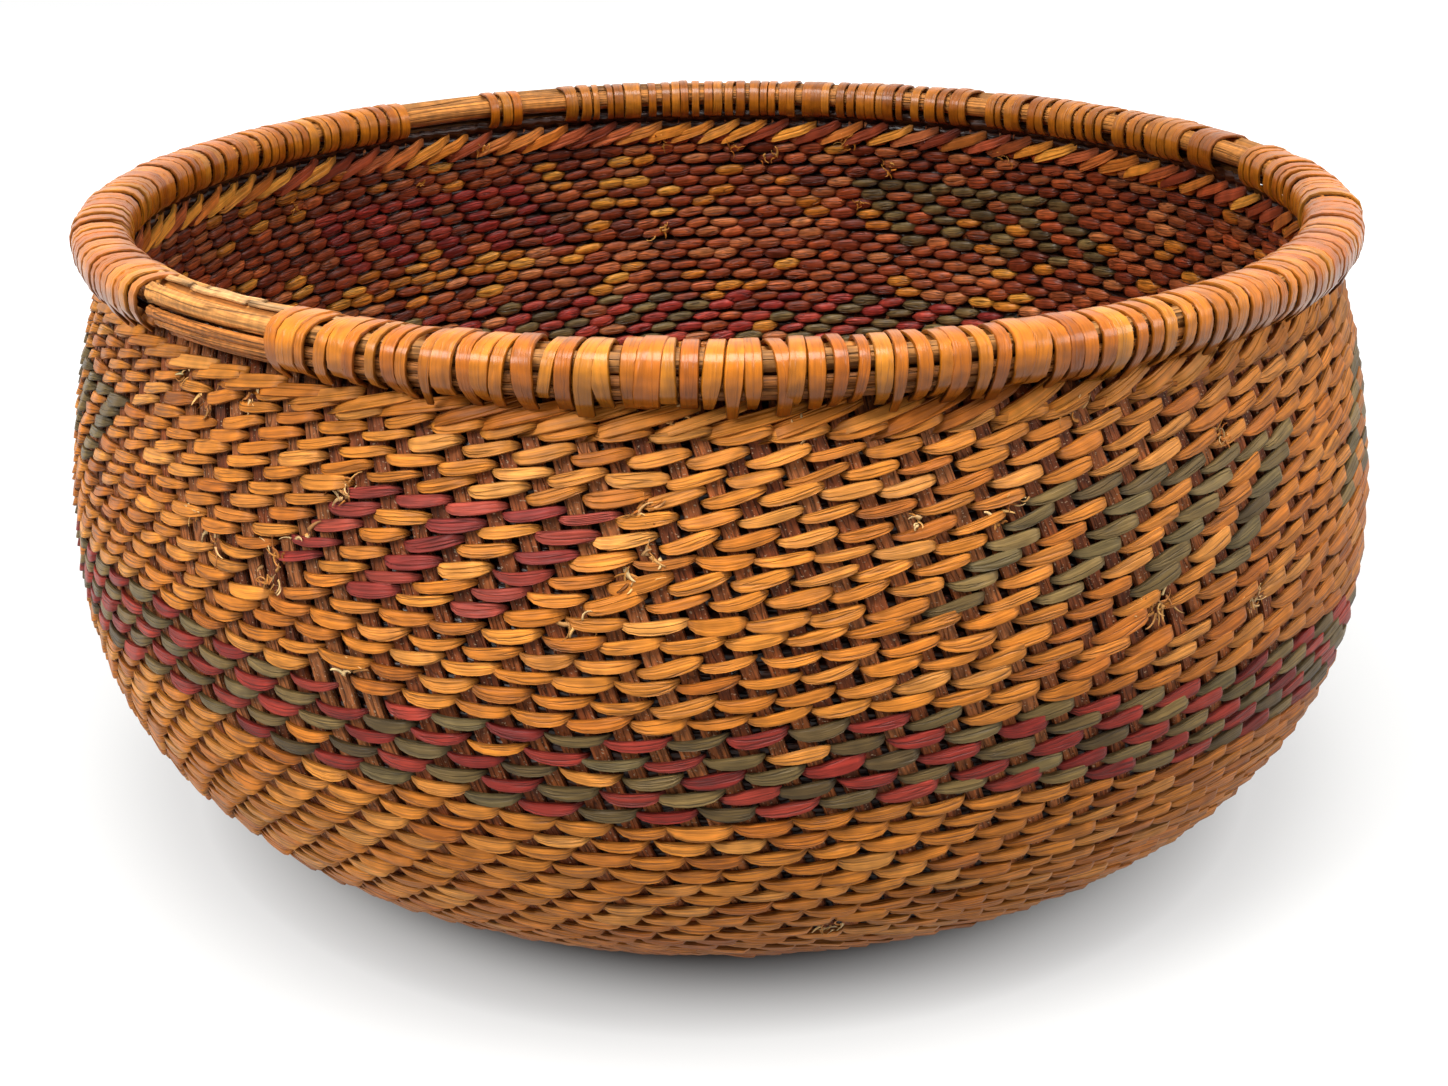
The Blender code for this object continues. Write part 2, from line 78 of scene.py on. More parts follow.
share = np.linspace(0.0, 1.0, OUTLINE_SAMPLES)
neck_radius = BELLY_RADIUS - (BELLY_RADIUS - NECK_RADIUS) * (1 - share) ** NECK_POWER
neck_height = RIM_HEIGHT - BELLY_DROP * share
turn = share[1:] * math.pi / 2
across = np.clip(np.cos(turn), 0.0, 1.0) ** (2 / BELLY_POWER)
down = np.sin(turn) ** (2 / BELLY_POWER)
OUT_RADIUS = np.concatenate([neck_radius, BASE_RADIUS + (BELLY_RADIUS - BASE_RADIUS) * across, [0.0]])
OUT_HEIGHT = np.concatenate([neck_height, (RIM_HEIGHT - BELLY_DROP) * (1 - down), [0.0]])
OUT_DISTANCE = np.concatenate([[0.0], np.cumsum(np.hypot(np.diff(OUT_RADIUS), np.diff(OUT_HEIGHT)))])
EDGE_DISTANCE = OUT_DISTANCE[-2]
MIDDLE_DISTANCE = OUT_DISTANCE[-1]

even_distance = np.linspace(0.0, MIDDLE_DISTANCE, EVEN_SAMPLES)
even_radius = np.interp(even_distance, OUT_DISTANCE, OUT_RADIUS)
even_height = np.interp(even_distance, OUT_DISTANCE, OUT_HEIGHT)
slope_radius = np.gradient(even_radius, even_distance)
slope_height = np.gradient(even_height, even_distance)
slope_length = np.hypot(slope_radius, slope_height)
out_across = -slope_height / slope_length
out_up = slope_radius / slope_length


def wall_radius(distance):
    return np.interp(distance, even_distance, even_radius)


def wall_place(azimuth, distance, depth):
    """Points of the wall from their azimuth, distance down the outline and depth inside its outer face."""
    radius = wall_radius(distance) - np.interp(distance, even_distance, out_across) * depth
    height = np.interp(distance, even_distance, even_height)
    height = height - np.interp(distance, even_distance, out_up) * depth
    return np.stack([radius * np.cos(azimuth), radius * np.sin(azimuth), height], axis=-1)


print(f"outline: {EDGE_DISTANCE * 1000:.1f} mm down to the base's edge")

# %% [markdown]
# ## Camera, floor and light
#
# The photograph looks down on the basket by about 23 degrees from close by, so the belly swells towards the
# viewer. A camera this close needs its real distance, not only its direction. The floor is a plain pale
# sheet. Three soft round lamps light the basket, above, at the front left and at the right, as in a
# photographer's tent. The world is white to the camera, to reflections and through anything clear, and dim
# to all else. The floor glows for the same looks, more with distance. So the background is white, and no
# extra light falls on the basket.

# %% Place the camera
PHOTO_WIDTH = 1448
FOCAL_PIXELS = 1840
SENSOR_WIDTH = 36.0
CAMERA_BACK = 0.4174
CAMERA_ABOVE_RIM = 0.0887
CAMERA_DIP = 22.72
CAMERA_ROLL = 0.6
MIDDLE_SHIFT_PIXELS = -3.4


def put(name, data):
    """Put a camera, a lamp or a mesh in the scene."""
    made = bpy.data.objects.new(name, data)
    bpy.context.scene.collection.objects.link(made)
    return made


camera_data = bpy.data.cameras.new("photo_camera")
camera_data.sensor_width = SENSOR_WIDTH
camera_data.lens = SENSOR_WIDTH * FOCAL_PIXELS / PHOTO_WIDTH
camera_data.shift_x = -MIDDLE_SHIFT_PIXELS / PHOTO_WIDTH
camera_data.clip_start = 0.01
camera = put("photo_camera", camera_data)
dip = Matrix.Rotation(math.radians(90 - CAMERA_DIP), 4, "X")
roll = Matrix.Rotation(math.radians(-CAMERA_ROLL), 4, "Z")
camera.matrix_world = Matrix.Translation((0.0, -CAMERA_BACK, RIM_HEIGHT + CAMERA_ABOVE_RIM)) @ dip @ roll
bpy.context.scene.camera = camera
print(f"camera: {camera_data.lens:.1f} mm lens, {CAMERA_BACK * 1000:.0f} mm in front of the middle")


# %% Helpers for colours, nodes and meshes
def linear(hex_colour):
    """An sRGB hex colour as the linear values that Blender's sockets hold."""
    channels = [int(hex_colour[at:at + 2], 16) / 255 for at in (1, 3, 5)]
    return [c / 12.92 if c <= 0.04045 else ((c + 0.055) / 1.055) ** 2.4 for c in channels] + [1.0]


def fill(tree, node, inputs):
    """Fill a node's inputs with values or with the outputs of other nodes."""
    for name, value in inputs.items():
        if isinstance(value, bpy.types.NodeSocket):
            tree.links.new(value, node.inputs[name])
        else:
            node.inputs[name].default_value = value


def add(tree, kind, inputs=None, **settings):
    """Add a node, set it up and fill its inputs."""
    made = tree.nodes.new(kind)
    for name, value in settings.items():
        setattr(made, name, value)
    fill(tree, made, inputs or {})
    return made


def combine(tree, operation, *values):
    """A number worked out from one or two others."""
    return add(tree, "ShaderNodeMath", dict(enumerate(values)), operation=operation).outputs[0]


def remap(tree, value, from_min=0.0, from_max=1.0, to_min=0.0, to_max=1.0):
    """A number moved from one range to another and held inside it."""
    ends = {"From Min": from_min, "From Max": from_max, "To Min": to_min, "To Max": to_max}
    return add(tree, "ShaderNodeMapRange", {"Value": value, **ends}).outputs[0]


def new_material(name):
    """An empty material, its tree and its Principled shader, already joined to the output."""
    made = bpy.data.materials.new(name)
    made.use_nodes = True
    tree = made.node_tree
    tree.nodes.clear()
    shader = add(tree, "ShaderNodeBsdfPrincipled")
    add(tree, "ShaderNodeOutputMaterial", {"Surface": shader.outputs[0]})
    return made, tree, shader


def mesh_from(bm, name):
    """Turn a bmesh into a mesh."""
    mesh = bpy.data.meshes.new(name)
    bm.to_mesh(mesh)
    bm.free()
    return mesh


# %% Lay the floor
FLOOR_HALF = 1.6
FLOOR_COLOUR = "#a2a2a0"
WHITE = (1.0, 1.0, 1.0, 1.0)
GLOWS = ((0.102, 0.130, 0.58), (0.130, 0.900, 0.66))  # metres from, metres to, strength

bm = bmesh.new()
bmesh.ops.create_grid(bm, x_segments=1, y_segments=1, size=FLOOR_HALF)
floor = put("floor", mesh_from(bm, "floor"))


def seen_white(tree):
    """1 where a camera, a reflection or a clear view looks, and 0 for the light that falls on the basket."""
    path = add(tree, "ShaderNodeLightPath").outputs
    seen = combine(tree, "MAXIMUM", path["Is Camera Ray"], path["Is Glossy Ray"])
    return combine(tree, "MAXIMUM", seen, path["Is Transmission Ray"])


paper, tree, shader = new_material("matt_white_paper")
place = add(tree, "ShaderNodeTexCoord")
away = add(tree, "ShaderNodeVectorMath", {0: place.outputs["Object"]}, operation="LENGTH").outputs["Value"]
near, far = (remap(tree, away, start, stop, to_max=most) for start, stop, most in GLOWS)
shown = combine(tree, "MULTIPLY", seen_white(tree), combine(tree, "ADD", near, far))
fill(tree, shader, {"Base Color": linear(FLOOR_COLOUR), "Roughness": 1.0, "Specular IOR Level": 0.0,
                    "Emission Color": WHITE, "Emission Strength": shown})
floor.data.materials.append(paper)

# %% Hang the lights
WORLD_LIGHT = 0.13
LAMPS_AIM_AT = (0.0, 0.0, 0.06)
TENT_LIGHT = (  # name, place and size in metres, power in watts
    ("tent_top", (0.0, -0.30, 1.10), 0.7, 14.0),
    ("tent_front_left", (-0.90, -0.80, 1.00), 0.6, 13.2),
    ("tent_right", (0.95, -0.35, 0.70), 0.5, 4.5),
)

world = bpy.data.worlds.new("white_tent")
bpy.context.scene.world = world
world.use_nodes = True
tree = world.node_tree
tree.nodes.clear()
strength = remap(tree, seen_white(tree), to_min=WORLD_LIGHT)
sky = add(tree, "ShaderNodeBackground", {"Color": WHITE, "Strength": strength})
add(tree, "ShaderNodeOutputWorld", {"Surface": sky.outputs[0]})

for name, place, size, power in TENT_LIGHT:
    lamp_data = bpy.data.lights.new(name, "AREA")
    lamp_data.shape = "DISK"
    lamp_data.size = size
    lamp_data.energy = power
    aim = Vector(LAMPS_AIM_AT) - Vector(place)
    lamp = put(name, lamp_data)
    lamp.matrix_world = Matrix.Translation(place) @ aim.to_track_quat("-Z", "Y").to_matrix().to_4x4()

bpy.context.scene.view_settings.view_transform = "Standard"
print("lights:", ", ".join(name for name, *_ in TENT_LIGHT))

# %% [markdown]
# ## Rows of weave
#
# Twining runs round the wall in rows. In this basket each strand passes outside two warps, and the next row
# starts half a stitch further on, so the stitches step down in slanting lines, as in twill. The warps lean
# too, which makes the lines steeper on one side. The rows weren't woven level: on the right they sink by
# about three rows, and they rise a little on the left. A short table says how far the dyed band has sunk
# round the basket, and the rows above and below it share that out. The first row starts at the top of the
# solid model's upper weft.

# %% Set out the rows
ROW_PITCH = 0.00342
UPPER_ROWS = 15
BAND_ROWS = 5
WARP_LEAN = math.radians(24.0)
STITCHES_OUTSIDE = 90
STITCHES_INSIDE = 112
LONG_STITCH = 0.0100
TURN_RADIUS = 0.1180
FIGURE_ROW = 4
FIGURE_OUTSIDE = math.radians(245.3)
FIGURE_INSIDE = math.radians(116.2)
SINK_AT = (180, 200, 206, 214, 221, 228, 234, 247, 264, 272, 280, 285, 291, 297, 303, 309, 317, 328, 345, 380,
           400, 430, 465, 490, 505, 540)
SINK_MM = (-2, -2, -2, -3.5, -5, -4.3, -1.8, -0.5, 1.7, 0.5, -1.4, -1, 0.2, 2.5, 4.8, 6.4, 7.3, 10, 11, 8,
           3, 2, 2, 1.5, 0, -2)
HOLE_RADIUS = 0.0102


def distance_at_height(height):
    """How far down the outline the outer face has come to a height."""
    return np.interp(-height, -even_height, even_distance)


FIRST_ROW = distance_at_height(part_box("upper_weft_outside")[1].z) - 0.0005
BAND_LAST_ROW = UPPER_ROWS + BAND_ROWS
LOWER_ROWS = int((EDGE_DISTANCE - FIRST_ROW) / ROW_PITCH) - BAND_LAST_ROW
EDGE_ROW = BAND_LAST_ROW + LOWER_ROWS
ALL_ROWS = int((MIDDLE_DISTANCE - HOLE_RADIUS - FIRST_ROW) / ROW_PITCH)
rng = np.random.default_rng(11)
ROW_WAVES = rng.uniform(0.0, 2 * math.pi, (ALL_ROWS, 3))

every_degree = np.arange(0.0, 1080.0)
sink = np.interp((every_degree - 180.0) % 360.0 + 180.0, SINK_AT, SINK_MM) / 1000
for _ in range(3):
    sink = (np.roll(sink, 1) + sink + np.roll(sink, -1)) / 3


def smooth(value):
    """An even start and stop between 0 and 1."""
    value = np.clip(value, 0.0, 1.0)
    return value * value * (3 - 2 * value)


def near_start(along, reach):
    """1 at a strand's start, and 0 from this share of its length on."""
    return smooth((reach - along) / reach)


def near_end(along, reach):
    """1 at a strand's end, and 0 up to this share of its length before it."""
    return smooth((along - 1 + reach) / reach)


def drift(azimuth):
    """How far the rows by the dyed band have sunk at an azimuth."""
    return np.interp(np.degrees(azimuth) % 360.0 + 360.0, every_degree, sink)


def drift_share(row):
    """The band's rows drift in full, and those next to the rim and the base hardly at all."""
    above = row / UPPER_ROWS
    below = (EDGE_ROW - row) / LOWER_ROWS
    return np.clip(np.minimum(above, below), 0.0, 1.0)


def row_distance(row, azimuth):
    """Distance of a row's middle down the outline, with its drift and a little waver."""
    waves = ROW_WAVES[np.asarray(row, int)]
    waver = 0.00022 * np.sin(3 * azimuth + waves[..., 0]) + 0.00016 * np.sin(7 * azimuth + waves[..., 1])
    return FIRST_ROW + (row + 0.5) * ROW_PITCH + drift(azimuth) * drift_share(row) + waver


def row_stretch(row, azimuth):
    """How much wider the rows lie here than their usual pitch."""
    step = drift_share(row + 0.5) - drift_share(row - 0.5)
    return 1 + drift(azimuth) * step / ROW_PITCH


def lean(distance):
    """How far a warp has turned back round the basket at a distance down the outline."""
    climbed = (EDGE_DISTANCE - distance) / (EDGE_DISTANCE - FIRST_ROW)
    return -WARP_LEAN * np.clip(climbed, 0.0, 1.0)


FIGURE_LEAN = lean(FIRST_ROW + (FIGURE_ROW + 0.5) * ROW_PITCH)


def row_table(rows, stitches_on_wall, first_column):
    """Row, number and middle azimuth of every stitch in some rows, and the angle that each one spans."""
    row_of, number, middle, span = [], [], [], []
    for row in rows:
        distance = FIRST_ROW + (row + 0.5) * ROW_PITCH
        radius = wall_radius(distance)
        count = stitches_on_wall
        if distance > BELLY_DROP and radius < TURN_RADIUS:
            count = round(2 * math.pi * radius / LONG_STITCH * stitches_on_wall / STITCHES_OUTSIDE)
        stitch = np.arange(count)
        row_of.append(np.full(count, row))
        number.append(stitch)
        turned = lean(distance) - FIGURE_LEAN + first_column
        middle.append((stitch - 0.5 * (row - FIGURE_ROW)) * 2 * math.pi / count + turned)
        span.append(np.full(count, 2 * math.pi / count))
    return [np.concatenate(part) for part in (row_of, number, middle, span)]


print(f"{EDGE_ROW} rows on the wall and {ALL_ROWS - EDGE_ROW} in the base")

# %% [markdown]
# ## A blank for every strand
#
# A stitch is a short piece of flat root that swells out of the wall, lies over two warps and dives in again.
# Thousands of them are the same thing at different places, so one blank is enough: a capped, eight-sided
# prism with a few rings. An Array modifier copies it, and then every copy is bent to its own place. The
# blank stays coarse because it is repeated so often. Smooth shading makes up for that, and four sharp edges
# along the outer strands keep them crisp, as split ribbons are. Its UV map runs along and round the strand,
# so that fibres can follow it.

# %% Blanks and copies
FIBRE_MAP = "fibre_map"
STRAND_COLOUR = "strand_colour"
MAP_SPREAD = 40.0


def strand_blank(name, sides, steps, crisp=False):
    """A capped prism of radius 1 from x = 0 to 1, with rings between, and a map along and round it. A crisp
    one has four sharp corners along it, as a split ribbon has."""
    bm = bmesh.new()
    lie_down = Matrix.Translation((0.5, 0.0, 0.0)) @ Matrix.Rotation(math.pi / 2, 4, "Y")
    bmesh.ops.create_cone(
        bm, cap_ends=True, segments=sides, radius1=1.0, radius2=1.0, depth=1.0, matrix=lie_down
    )
    long_edges = [edge for edge in bm.edges if abs(edge.verts[0].co.x - edge.verts[1].co.x) > 0.5]
    bmesh.ops.subdivide_edges(bm, edges=long_edges, cuts=steps - 1, use_grid_fill=True)
    bmesh.ops.recalc_face_normals(bm, faces=bm.faces)
    for edge in bm.edges:
        one, other = (vert.co for vert in edge.verts)
        lengthwise = abs(one.x - other.x) > 0.5 / steps
        edge.smooth = not (crisp and lengthwise and abs(one.y * one.z) > 0.3)
    layer = bm.loops.layers.uv.new(FIBRE_MAP)
    for face in bm.faces:
        face.smooth = True
        middle = face.calc_center_median()
        middle_turn = math.atan2(middle.z, middle.y)
        for loop in face.loops:
            place = loop.vert.co
            turned = (math.atan2(place.z, place.y) - middle_turn + math.pi) % (2 * math.pi) - math.pi
            loop[layer].uv = (place.x, (middle_turn + turned) / (2 * math.pi))
    return mesh_from(bm, name)


def blank_points(blank):
    """The blank's share of the way along, and its unit section, one value for each vertex."""
    points = np.empty(len(blank.vertices) * 3)
    blank.vertices.foreach_get("co", points)
    along, across, out = points.reshape(-1, 3).T
    return np.clip(along, 0.0, 1.0), across, out


def squared(unit, power):
    """A round section's coordinate pushed out towards a flat ribbon's; the smaller the power, the squarer."""
    return np.sign(unit) * np.abs(unit) ** power


def many(blank, count, name):
    """One mesh with many copies of the blank, one after another."""
    carrier = put(name, blank)
    array = carrier.modifiers.new("copies", "ARRAY")
    array.count = count
    array.use_relative_offset = False
    array.use_constant_offset = True
    array.constant_offset_displace = (0.0, 0.0, 0.0)
    array.use_merge_vertices = False
    bpy.context.view_layer.update()
    shown = carrier.evaluated_get(bpy.context.evaluated_depsgraph_get())
    mesh = bpy.data.meshes.new_from_object(shown)
    bpy.data.objects.remove(carrier)
    mesh.name = name
    return mesh


def palette(tones):
    return np.array([linear(tone)[:3] for tone in tones])


def blended(tones, count, chance, spread=0.07):
    """A tone for each strand, between two of a palette, and a little lighter or darker."""
    known = palette(tones)
    one = known[chance.integers(0, len(known), count)]
    other = known[chance.integers(0, len(known), count)]
    share = chance.uniform(0, 1, (count, 1))
    return np.clip((one * share + other * (1 - share)) * chance.normal(1.0, spread, (count, 1)), 0, 1)


def give_colour(mesh, colours):
    """Store a colour for each vertex."""
    kept = mesh.color_attributes.new(STRAND_COLOUR, "FLOAT_COLOR", "POINT")
    kept.data.foreach_set("color", colours.ravel())


def finish_piece(name, mesh, material, slot, *nodes):
    """Show a mesh in its material, tie it to the basket's body, and hide the solids that it covers."""
    made = put(name, mesh)
    mesh.materials.clear()
    mesh.materials.append(material)
    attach(made, "root")
    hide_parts(*nodes)
    mesh.calc_loop_triangles()
    print(f"{made.name}: {len(mesh.loop_triangles):,} triangles")


def strands(name, blank, places, colours, shade, map_size, seed, material, slot, *nodes):
    """A piece made of copies of a blank, each in its place and colour and with its own stretch of fibre."""
    count, corners = places.shape[:2]
    mesh = many(blank, count, name)
    mesh.vertices.foreach_set("co", places.astype(np.float32).ravel())
    painted = np.ones((count, corners, 4), np.float32)
    painted[..., :3] = colours[:, None, :]
    painted[..., 3] = shade
    give_colour(mesh, painted)
    fibre = np.empty(count * len(blank.loops) * 2, np.float32)
    fibre_map = mesh.uv_layers[FIBRE_MAP].data
    fibre_map.foreach_get("uv", fibre)
    start = np.round(np.random.default_rng(seed).uniform(0.0, MAP_SPREAD, (count, 1, 2)), 2)
    fibre = fibre.reshape(count, -1, 2) * np.array(map_size) + start
    fibre_map.foreach_set("uv", fibre.astype(np.float32).ravel())
    mesh.update()
    finish_piece(name, mesh, material, slot, *nodes)


# %% [markdown]
# ## Materials of the basket
#
# All the strands are plant fibre, and what tells them apart is how they were made. The weft is split conifer
# root: scraped smooth, satin, with fine fibres along its length. The warps are unpeeled shoots, so they are
# brown, matt and flecked. The lashing is the same root with its glossy outer face turned out. Each strand
# has its own colour as an attribute, because roots differ and some are dyed, and the attribute's alpha
# holds painted shade that darkens its ends and edges. The material adds what all strands share: streaks
# along the fibre, thin creases darkened by painted shade, a broad change of tone, and a bump that follows
# the streaks and creases. Real fibres are finer than a quarter of a millimetre. Here they are drawn about
# 0.4 mm wide, as coarse as they need to show.


# %% Fibre materials
CREASE_STEP_MM = 1.3
CREASE_WIDTH = 0.045
BUMP_DEPTH = 0.00022
FIBRE_SPECULAR = 0.22  # low, or the white surroundings wash out the colour
COAT_ROUGHNESS = 0.20


def noise(tree, vector, scale, detail, **inputs):
    """Noise over a flat map."""
    return add(tree, "ShaderNodeTexNoise", {"Vector": vector, "Scale": scale, "Detail": detail, **inputs},
               noise_dimensions="2D").outputs[0]


def stretched(tree, fibre_map, long_mm, wide_mm):
    """The map drawn out, so that noise on it is this long and wide. One unit of the map is 10 mm."""
    scale = (10 / long_mm, 10 / wide_mm, 1.0)
    return add(tree, "ShaderNodeMapping", {"Vector": fibre_map, "Scale": scale}).outputs[0]


def fibre_material(name, fibre_mm, run_mm, streak, roughness, bump, crease, coat=0.0, fleck=None):
    """Plant fibre coloured by its strand. Streaks are fibre_mm wide and run_mm long. The streak value says
    how dark the streaks get, and the crease value how far painted shade darkens the creases."""
    made, tree, shader = new_material(name)
    strand = add(tree, "ShaderNodeAttribute", attribute_name=STRAND_COLOUR).outputs
    fibre_map = add(tree, "ShaderNodeUVMap", uv_map=FIBRE_MAP).outputs[0]
    fine = noise(tree, stretched(tree, fibre_map, run_mm, fibre_mm), 1.0, 2.5, Roughness=0.6)
    folds = noise(tree, stretched(tree, fibre_map, 2.5 * run_mm, CREASE_STEP_MM), 1.0, 1.0)
    away = combine(tree, "ABSOLUTE", combine(tree, "SUBTRACT", folds, 0.5))
    flat = remap(tree, away, from_max=CREASE_WIDTH)
    broad = noise(tree, fibre_map, 4.0, 1.0)
    shaded = remap(tree, fine, 0.34, 0.66, 1 - streak, 1 + streak * 0.7)
    drifted = remap(tree, broad, 0.3, 0.7, 0.80, 1.14)
    # painted shade in the creases
    painted_crease_shade = remap(tree, flat, to_min=1 - crease)
    for part in (drifted, painted_crease_shade, strand["Alpha"]):
        shaded = combine(tree, "MULTIPLY", shaded, part)
    base = add(tree, "ShaderNodeVectorMath", {0: strand["Color"], "Scale": shaded}, operation="SCALE")
    base = base.outputs[0]
    if fleck:
        chosen = remap(tree, noise(tree, fibre_map, 22.0, 1.0), 0.69, 0.76)
        base = add(tree, "ShaderNodeMix", {0: chosen, 6: base, 7: linear(fleck)}, data_type="RGBA").outputs[2]
    height = combine(tree, "ADD", fine, flat)
    raised = add(tree, "ShaderNodeBump", {"Height": height, "Strength": bump, "Distance": BUMP_DEPTH})
    raised = raised.outputs[0]
    rough = remap(tree, fine, to_min=roughness - 0.08, to_max=roughness + 0.12)
    fill(tree, shader, {"Base Color": base, "Roughness": rough, "Normal": raised, "Coat Weight": coat,
                        "Specular IOR Level": FIBRE_SPECULAR, "Coat Roughness": COAT_ROUGHNESS})
    return made


split_root = fibre_material("split_root_scraped", 0.38, 8.0, 0.30, 0.44, 0.8, 0.34)
inside_root = fibre_material("split_root_bark_side", 0.42, 5.0, 0.44, 0.30, 1.0, 0.55, coat=0.15)
peeled_root = fibre_material("split_root_polished", 0.36, 12.0, 0.15, 0.30, 0.45, 0.14, coat=0.30)
border_root = fibre_material("split_root_broad", 0.50, 14.0, 0.22, 0.46, 0.7, 0.24)
shoot_bark = fibre_material("unpeeled_shoot", 0.40, 5.0, 0.52, 0.60, 1.0, 0.50, fleck="#b89878")
split_wood = fibre_material("split_sapling_wood", 0.42, 30.0, 0.40, 0.50, 1.0, 0.55)

# %% [markdown]
# ## The warps
#
# The warps are brown shoots that lean back as they climb. On the real basket they show as dark, flecked
# blocks between the stitches, two for each stitch of a row. Each one is a flattened strand laid along its
# line from the rim to the base's edge, and it grows slimmer where they crowd together under the belly.

# %% Lay the warps
WARP_COUNT = 2 * STITCHES_OUTSIDE
WARP_WIDTH = 0.0036
WARP_THICKNESS = 0.0015
WARP_DEPTH = 0.0019
WARP_TOP = 0.0052
WARP_CROWDING = 0.86
WARP_STEPS = 30
WARP_PAST_EDGE = 0.004
WARP_TONES = palette(("#8c4a26", "#743a1c", "#9a562c", "#a46236"))

warp_blank = strand_blank("warp_blank", 8, WARP_STEPS, crisp=True)
along, sideways, out = blank_points(warp_blank)
chance = np.random.default_rng(21)
number = np.arange(WARP_COUNT)[:, None]
distance = WARP_TOP + along * (EDGE_DISTANCE + WARP_PAST_EDGE - WARP_TOP)
spacing = 2 * math.pi * wall_radius(distance) / WARP_COUNT
width = np.minimum(WARP_WIDTH, spacing * WARP_CROWDING) * chance.normal(1.0, 0.05, (WARP_COUNT, 1))
wander = 0.00012 * np.sin(along * 26 + chance.uniform(0, 6.3, (WARP_COUNT, 1)))
azimuth = 2 * math.pi * (number - 0.5) / WARP_COUNT + lean(distance) - FIGURE_LEAN + FIGURE_OUTSIDE
azimuth = azimuth + (squared(sideways, 0.5) * width / 2 + wander) / wall_radius(distance)
depth = WARP_DEPTH - squared(out, 0.4) * WARP_THICKNESS / 2 + chance.normal(0, 0.00006, (WARP_COUNT, 1))
places = wall_place(azimuth, distance + 0 * azimuth, depth)
colours = WARP_TONES[chance.integers(0, len(WARP_TONES), WARP_COUNT)]
colours = np.clip(colours * chance.normal(1, 0.08, (WARP_COUNT, 1)), 0, 1)
rods = [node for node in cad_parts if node.startswith(("starting_rod", "added_rod"))]
strands("warp_shoots", warp_blank, places, colours, 1.0, (18.0, 0.8), 22, shoot_bark, "warp_bark", *rods)

# %% [markdown]
# ## Where the strands cross
#
# Between two warps the two strands of a row pass through the wall and trade faces. Only their middles show
# there, deep between the stitches, where shade falls. One thin ribbon for each row stands for those
# crossings: it lies behind the warps and bulges forward into each gap between them, so no daylight comes
# through the weave. Its near-black colour is the painted shade of those deep gaps.

# %% Close the gaps with the crossings
CROSSING_DEPTH = 0.00315
CROSSING_BULGE = 0.00090
CROSSING_WIDTH = 0.0041
CROSSING_THICKNESS = 0.0003
# near black: the painted shade of the deep gaps between the warps
CROSSING_SHADE_TONES = ("#281006", "#361808")


def row_crossings(name, rows, node, seed):
    """A wavy closed ribbon for each of some rows, behind the warps."""
    rows = np.array(rows)[:, None]
    chance = np.random.default_rng(seed)
    blank = strand_blank(name + "_blank", 4, 2 * WARP_COUNT)
    along, up, out = blank_points(blank)
    azimuth = along * 2 * math.pi + 0 * rows
    middle = FIRST_ROW + (rows + 0.5) * ROW_PITCH
    between = np.cos(WARP_COUNT * (azimuth - lean(middle) + FIGURE_LEAN - FIGURE_OUTSIDE))
    depth = CROSSING_DEPTH - CROSSING_BULGE * (0.5 + 0.5 * between) - out * CROSSING_THICKNESS
    distance = row_distance(rows, azimuth) - up * CROSSING_WIDTH / 2 * row_stretch(rows, azimuth)
    colours = blended(CROSSING_SHADE_TONES, len(rows), chance)
    strands(name, blank, wall_place(azimuth, distance, depth), colours, 1.0, (90.0, 0.5), seed + 1,
            inside_root, "weft_inside", node)


row_crossings("weft_crossings_upper", range(-2, BAND_LAST_ROW), "upper_weft_outside", 27)
row_crossings("weft_crossings_lower", range(BAND_LAST_ROW, EDGE_ROW), "lower_weft_outside", 29)
row_crossings("weft_crossings_base", range(EDGE_ROW, ALL_ROWS), "base_weft_outside", 41)

# %% [markdown]
# ## The outer stitches
#
# Seen close, a stitch is not a bead. Its left end comes up from the wall with a rounded, blunt tip; the
# band then widens, its lower edge bows down, and it rises to the right, where it slides under the tip of
# the next one. The lower edge stands a little prouder than the upper one, like a roof tile, and throws the
# thin shadow that separates the rows. The measures below are the upper and lower edge of one stitch along
# its length. Near the rim it is a slanting band, from the seventh row down a boat with both ends raised, and
# on the right a fuller, steeper leaf. On the belly's turn the stitches lie flatter and longer and hide the
# warps.

# %% Shape of an outer stitch
EDGE_SHARES = (0.0, 0.05, 0.12, 0.22, 0.35, 0.50, 0.65, 0.80, 0.90, 0.96, 1.0)
BAND_MM = ((-0.06, 0.12, 0.30, 0.52, 0.80, 1.16, 1.52, 1.80, 1.76, 1.52, 1.06),
           (-0.66, -1.36, -1.76, -1.84, -1.70, -1.38, -0.96, -0.46, -0.04, 0.24, 0.50))
BOAT_MM = ((0.98, 0.84, 0.68, 0.56, 0.56, 0.74, 1.02, 1.30, 1.40, 1.34, 1.16),
           (0.72, 0.00, -0.72, -1.26, -1.54, -1.56, -1.34, -0.88, -0.36, 0.06, 0.56))
LEAF_MM = ((-0.75, -0.66, -0.54, -0.30, 0.12, 0.72, 1.32, 1.80, 1.86, 1.70, 1.30),
           (-1.15, -1.52, -1.84, -2.06, -2.06, -1.84, -1.42, -0.80, -0.40, -0.02, 0.56))
BULGE_SHARES = (0.0, 0.07, 0.18, 0.45, 0.70, 0.84, 0.93, 1.0)
BULGE_MM = (0.60, 0.22, 0.00, -0.20, -0.38, -0.24, 0.42, 1.30)
LEAF_BULGE_MM = (1.50, 0.85, 0.30, -0.15, -0.55, -0.80, -0.60, 0.50)
OUTER_THICKNESS = 0.00105
OUTER_LENGTH = 1.13
OUTER_DEPTH = 0.00065
TILE_TILT = 0.22
UNDER_RADIUS = 0.1290
LEAF_MIDDLE = 330.0
LEAF_REACH = 62.0
BOAT_FROM_ROW = 6
BOAT_BLEND_ROWS = 7
END_CROWDING = 0.55


def crowded(share):
    """Shares of a length with the blank's rings drawn together towards both ends, where it curves most."""
    return share - END_CROWDING * np.sin(2 * math.pi * share) / (2 * math.pi)


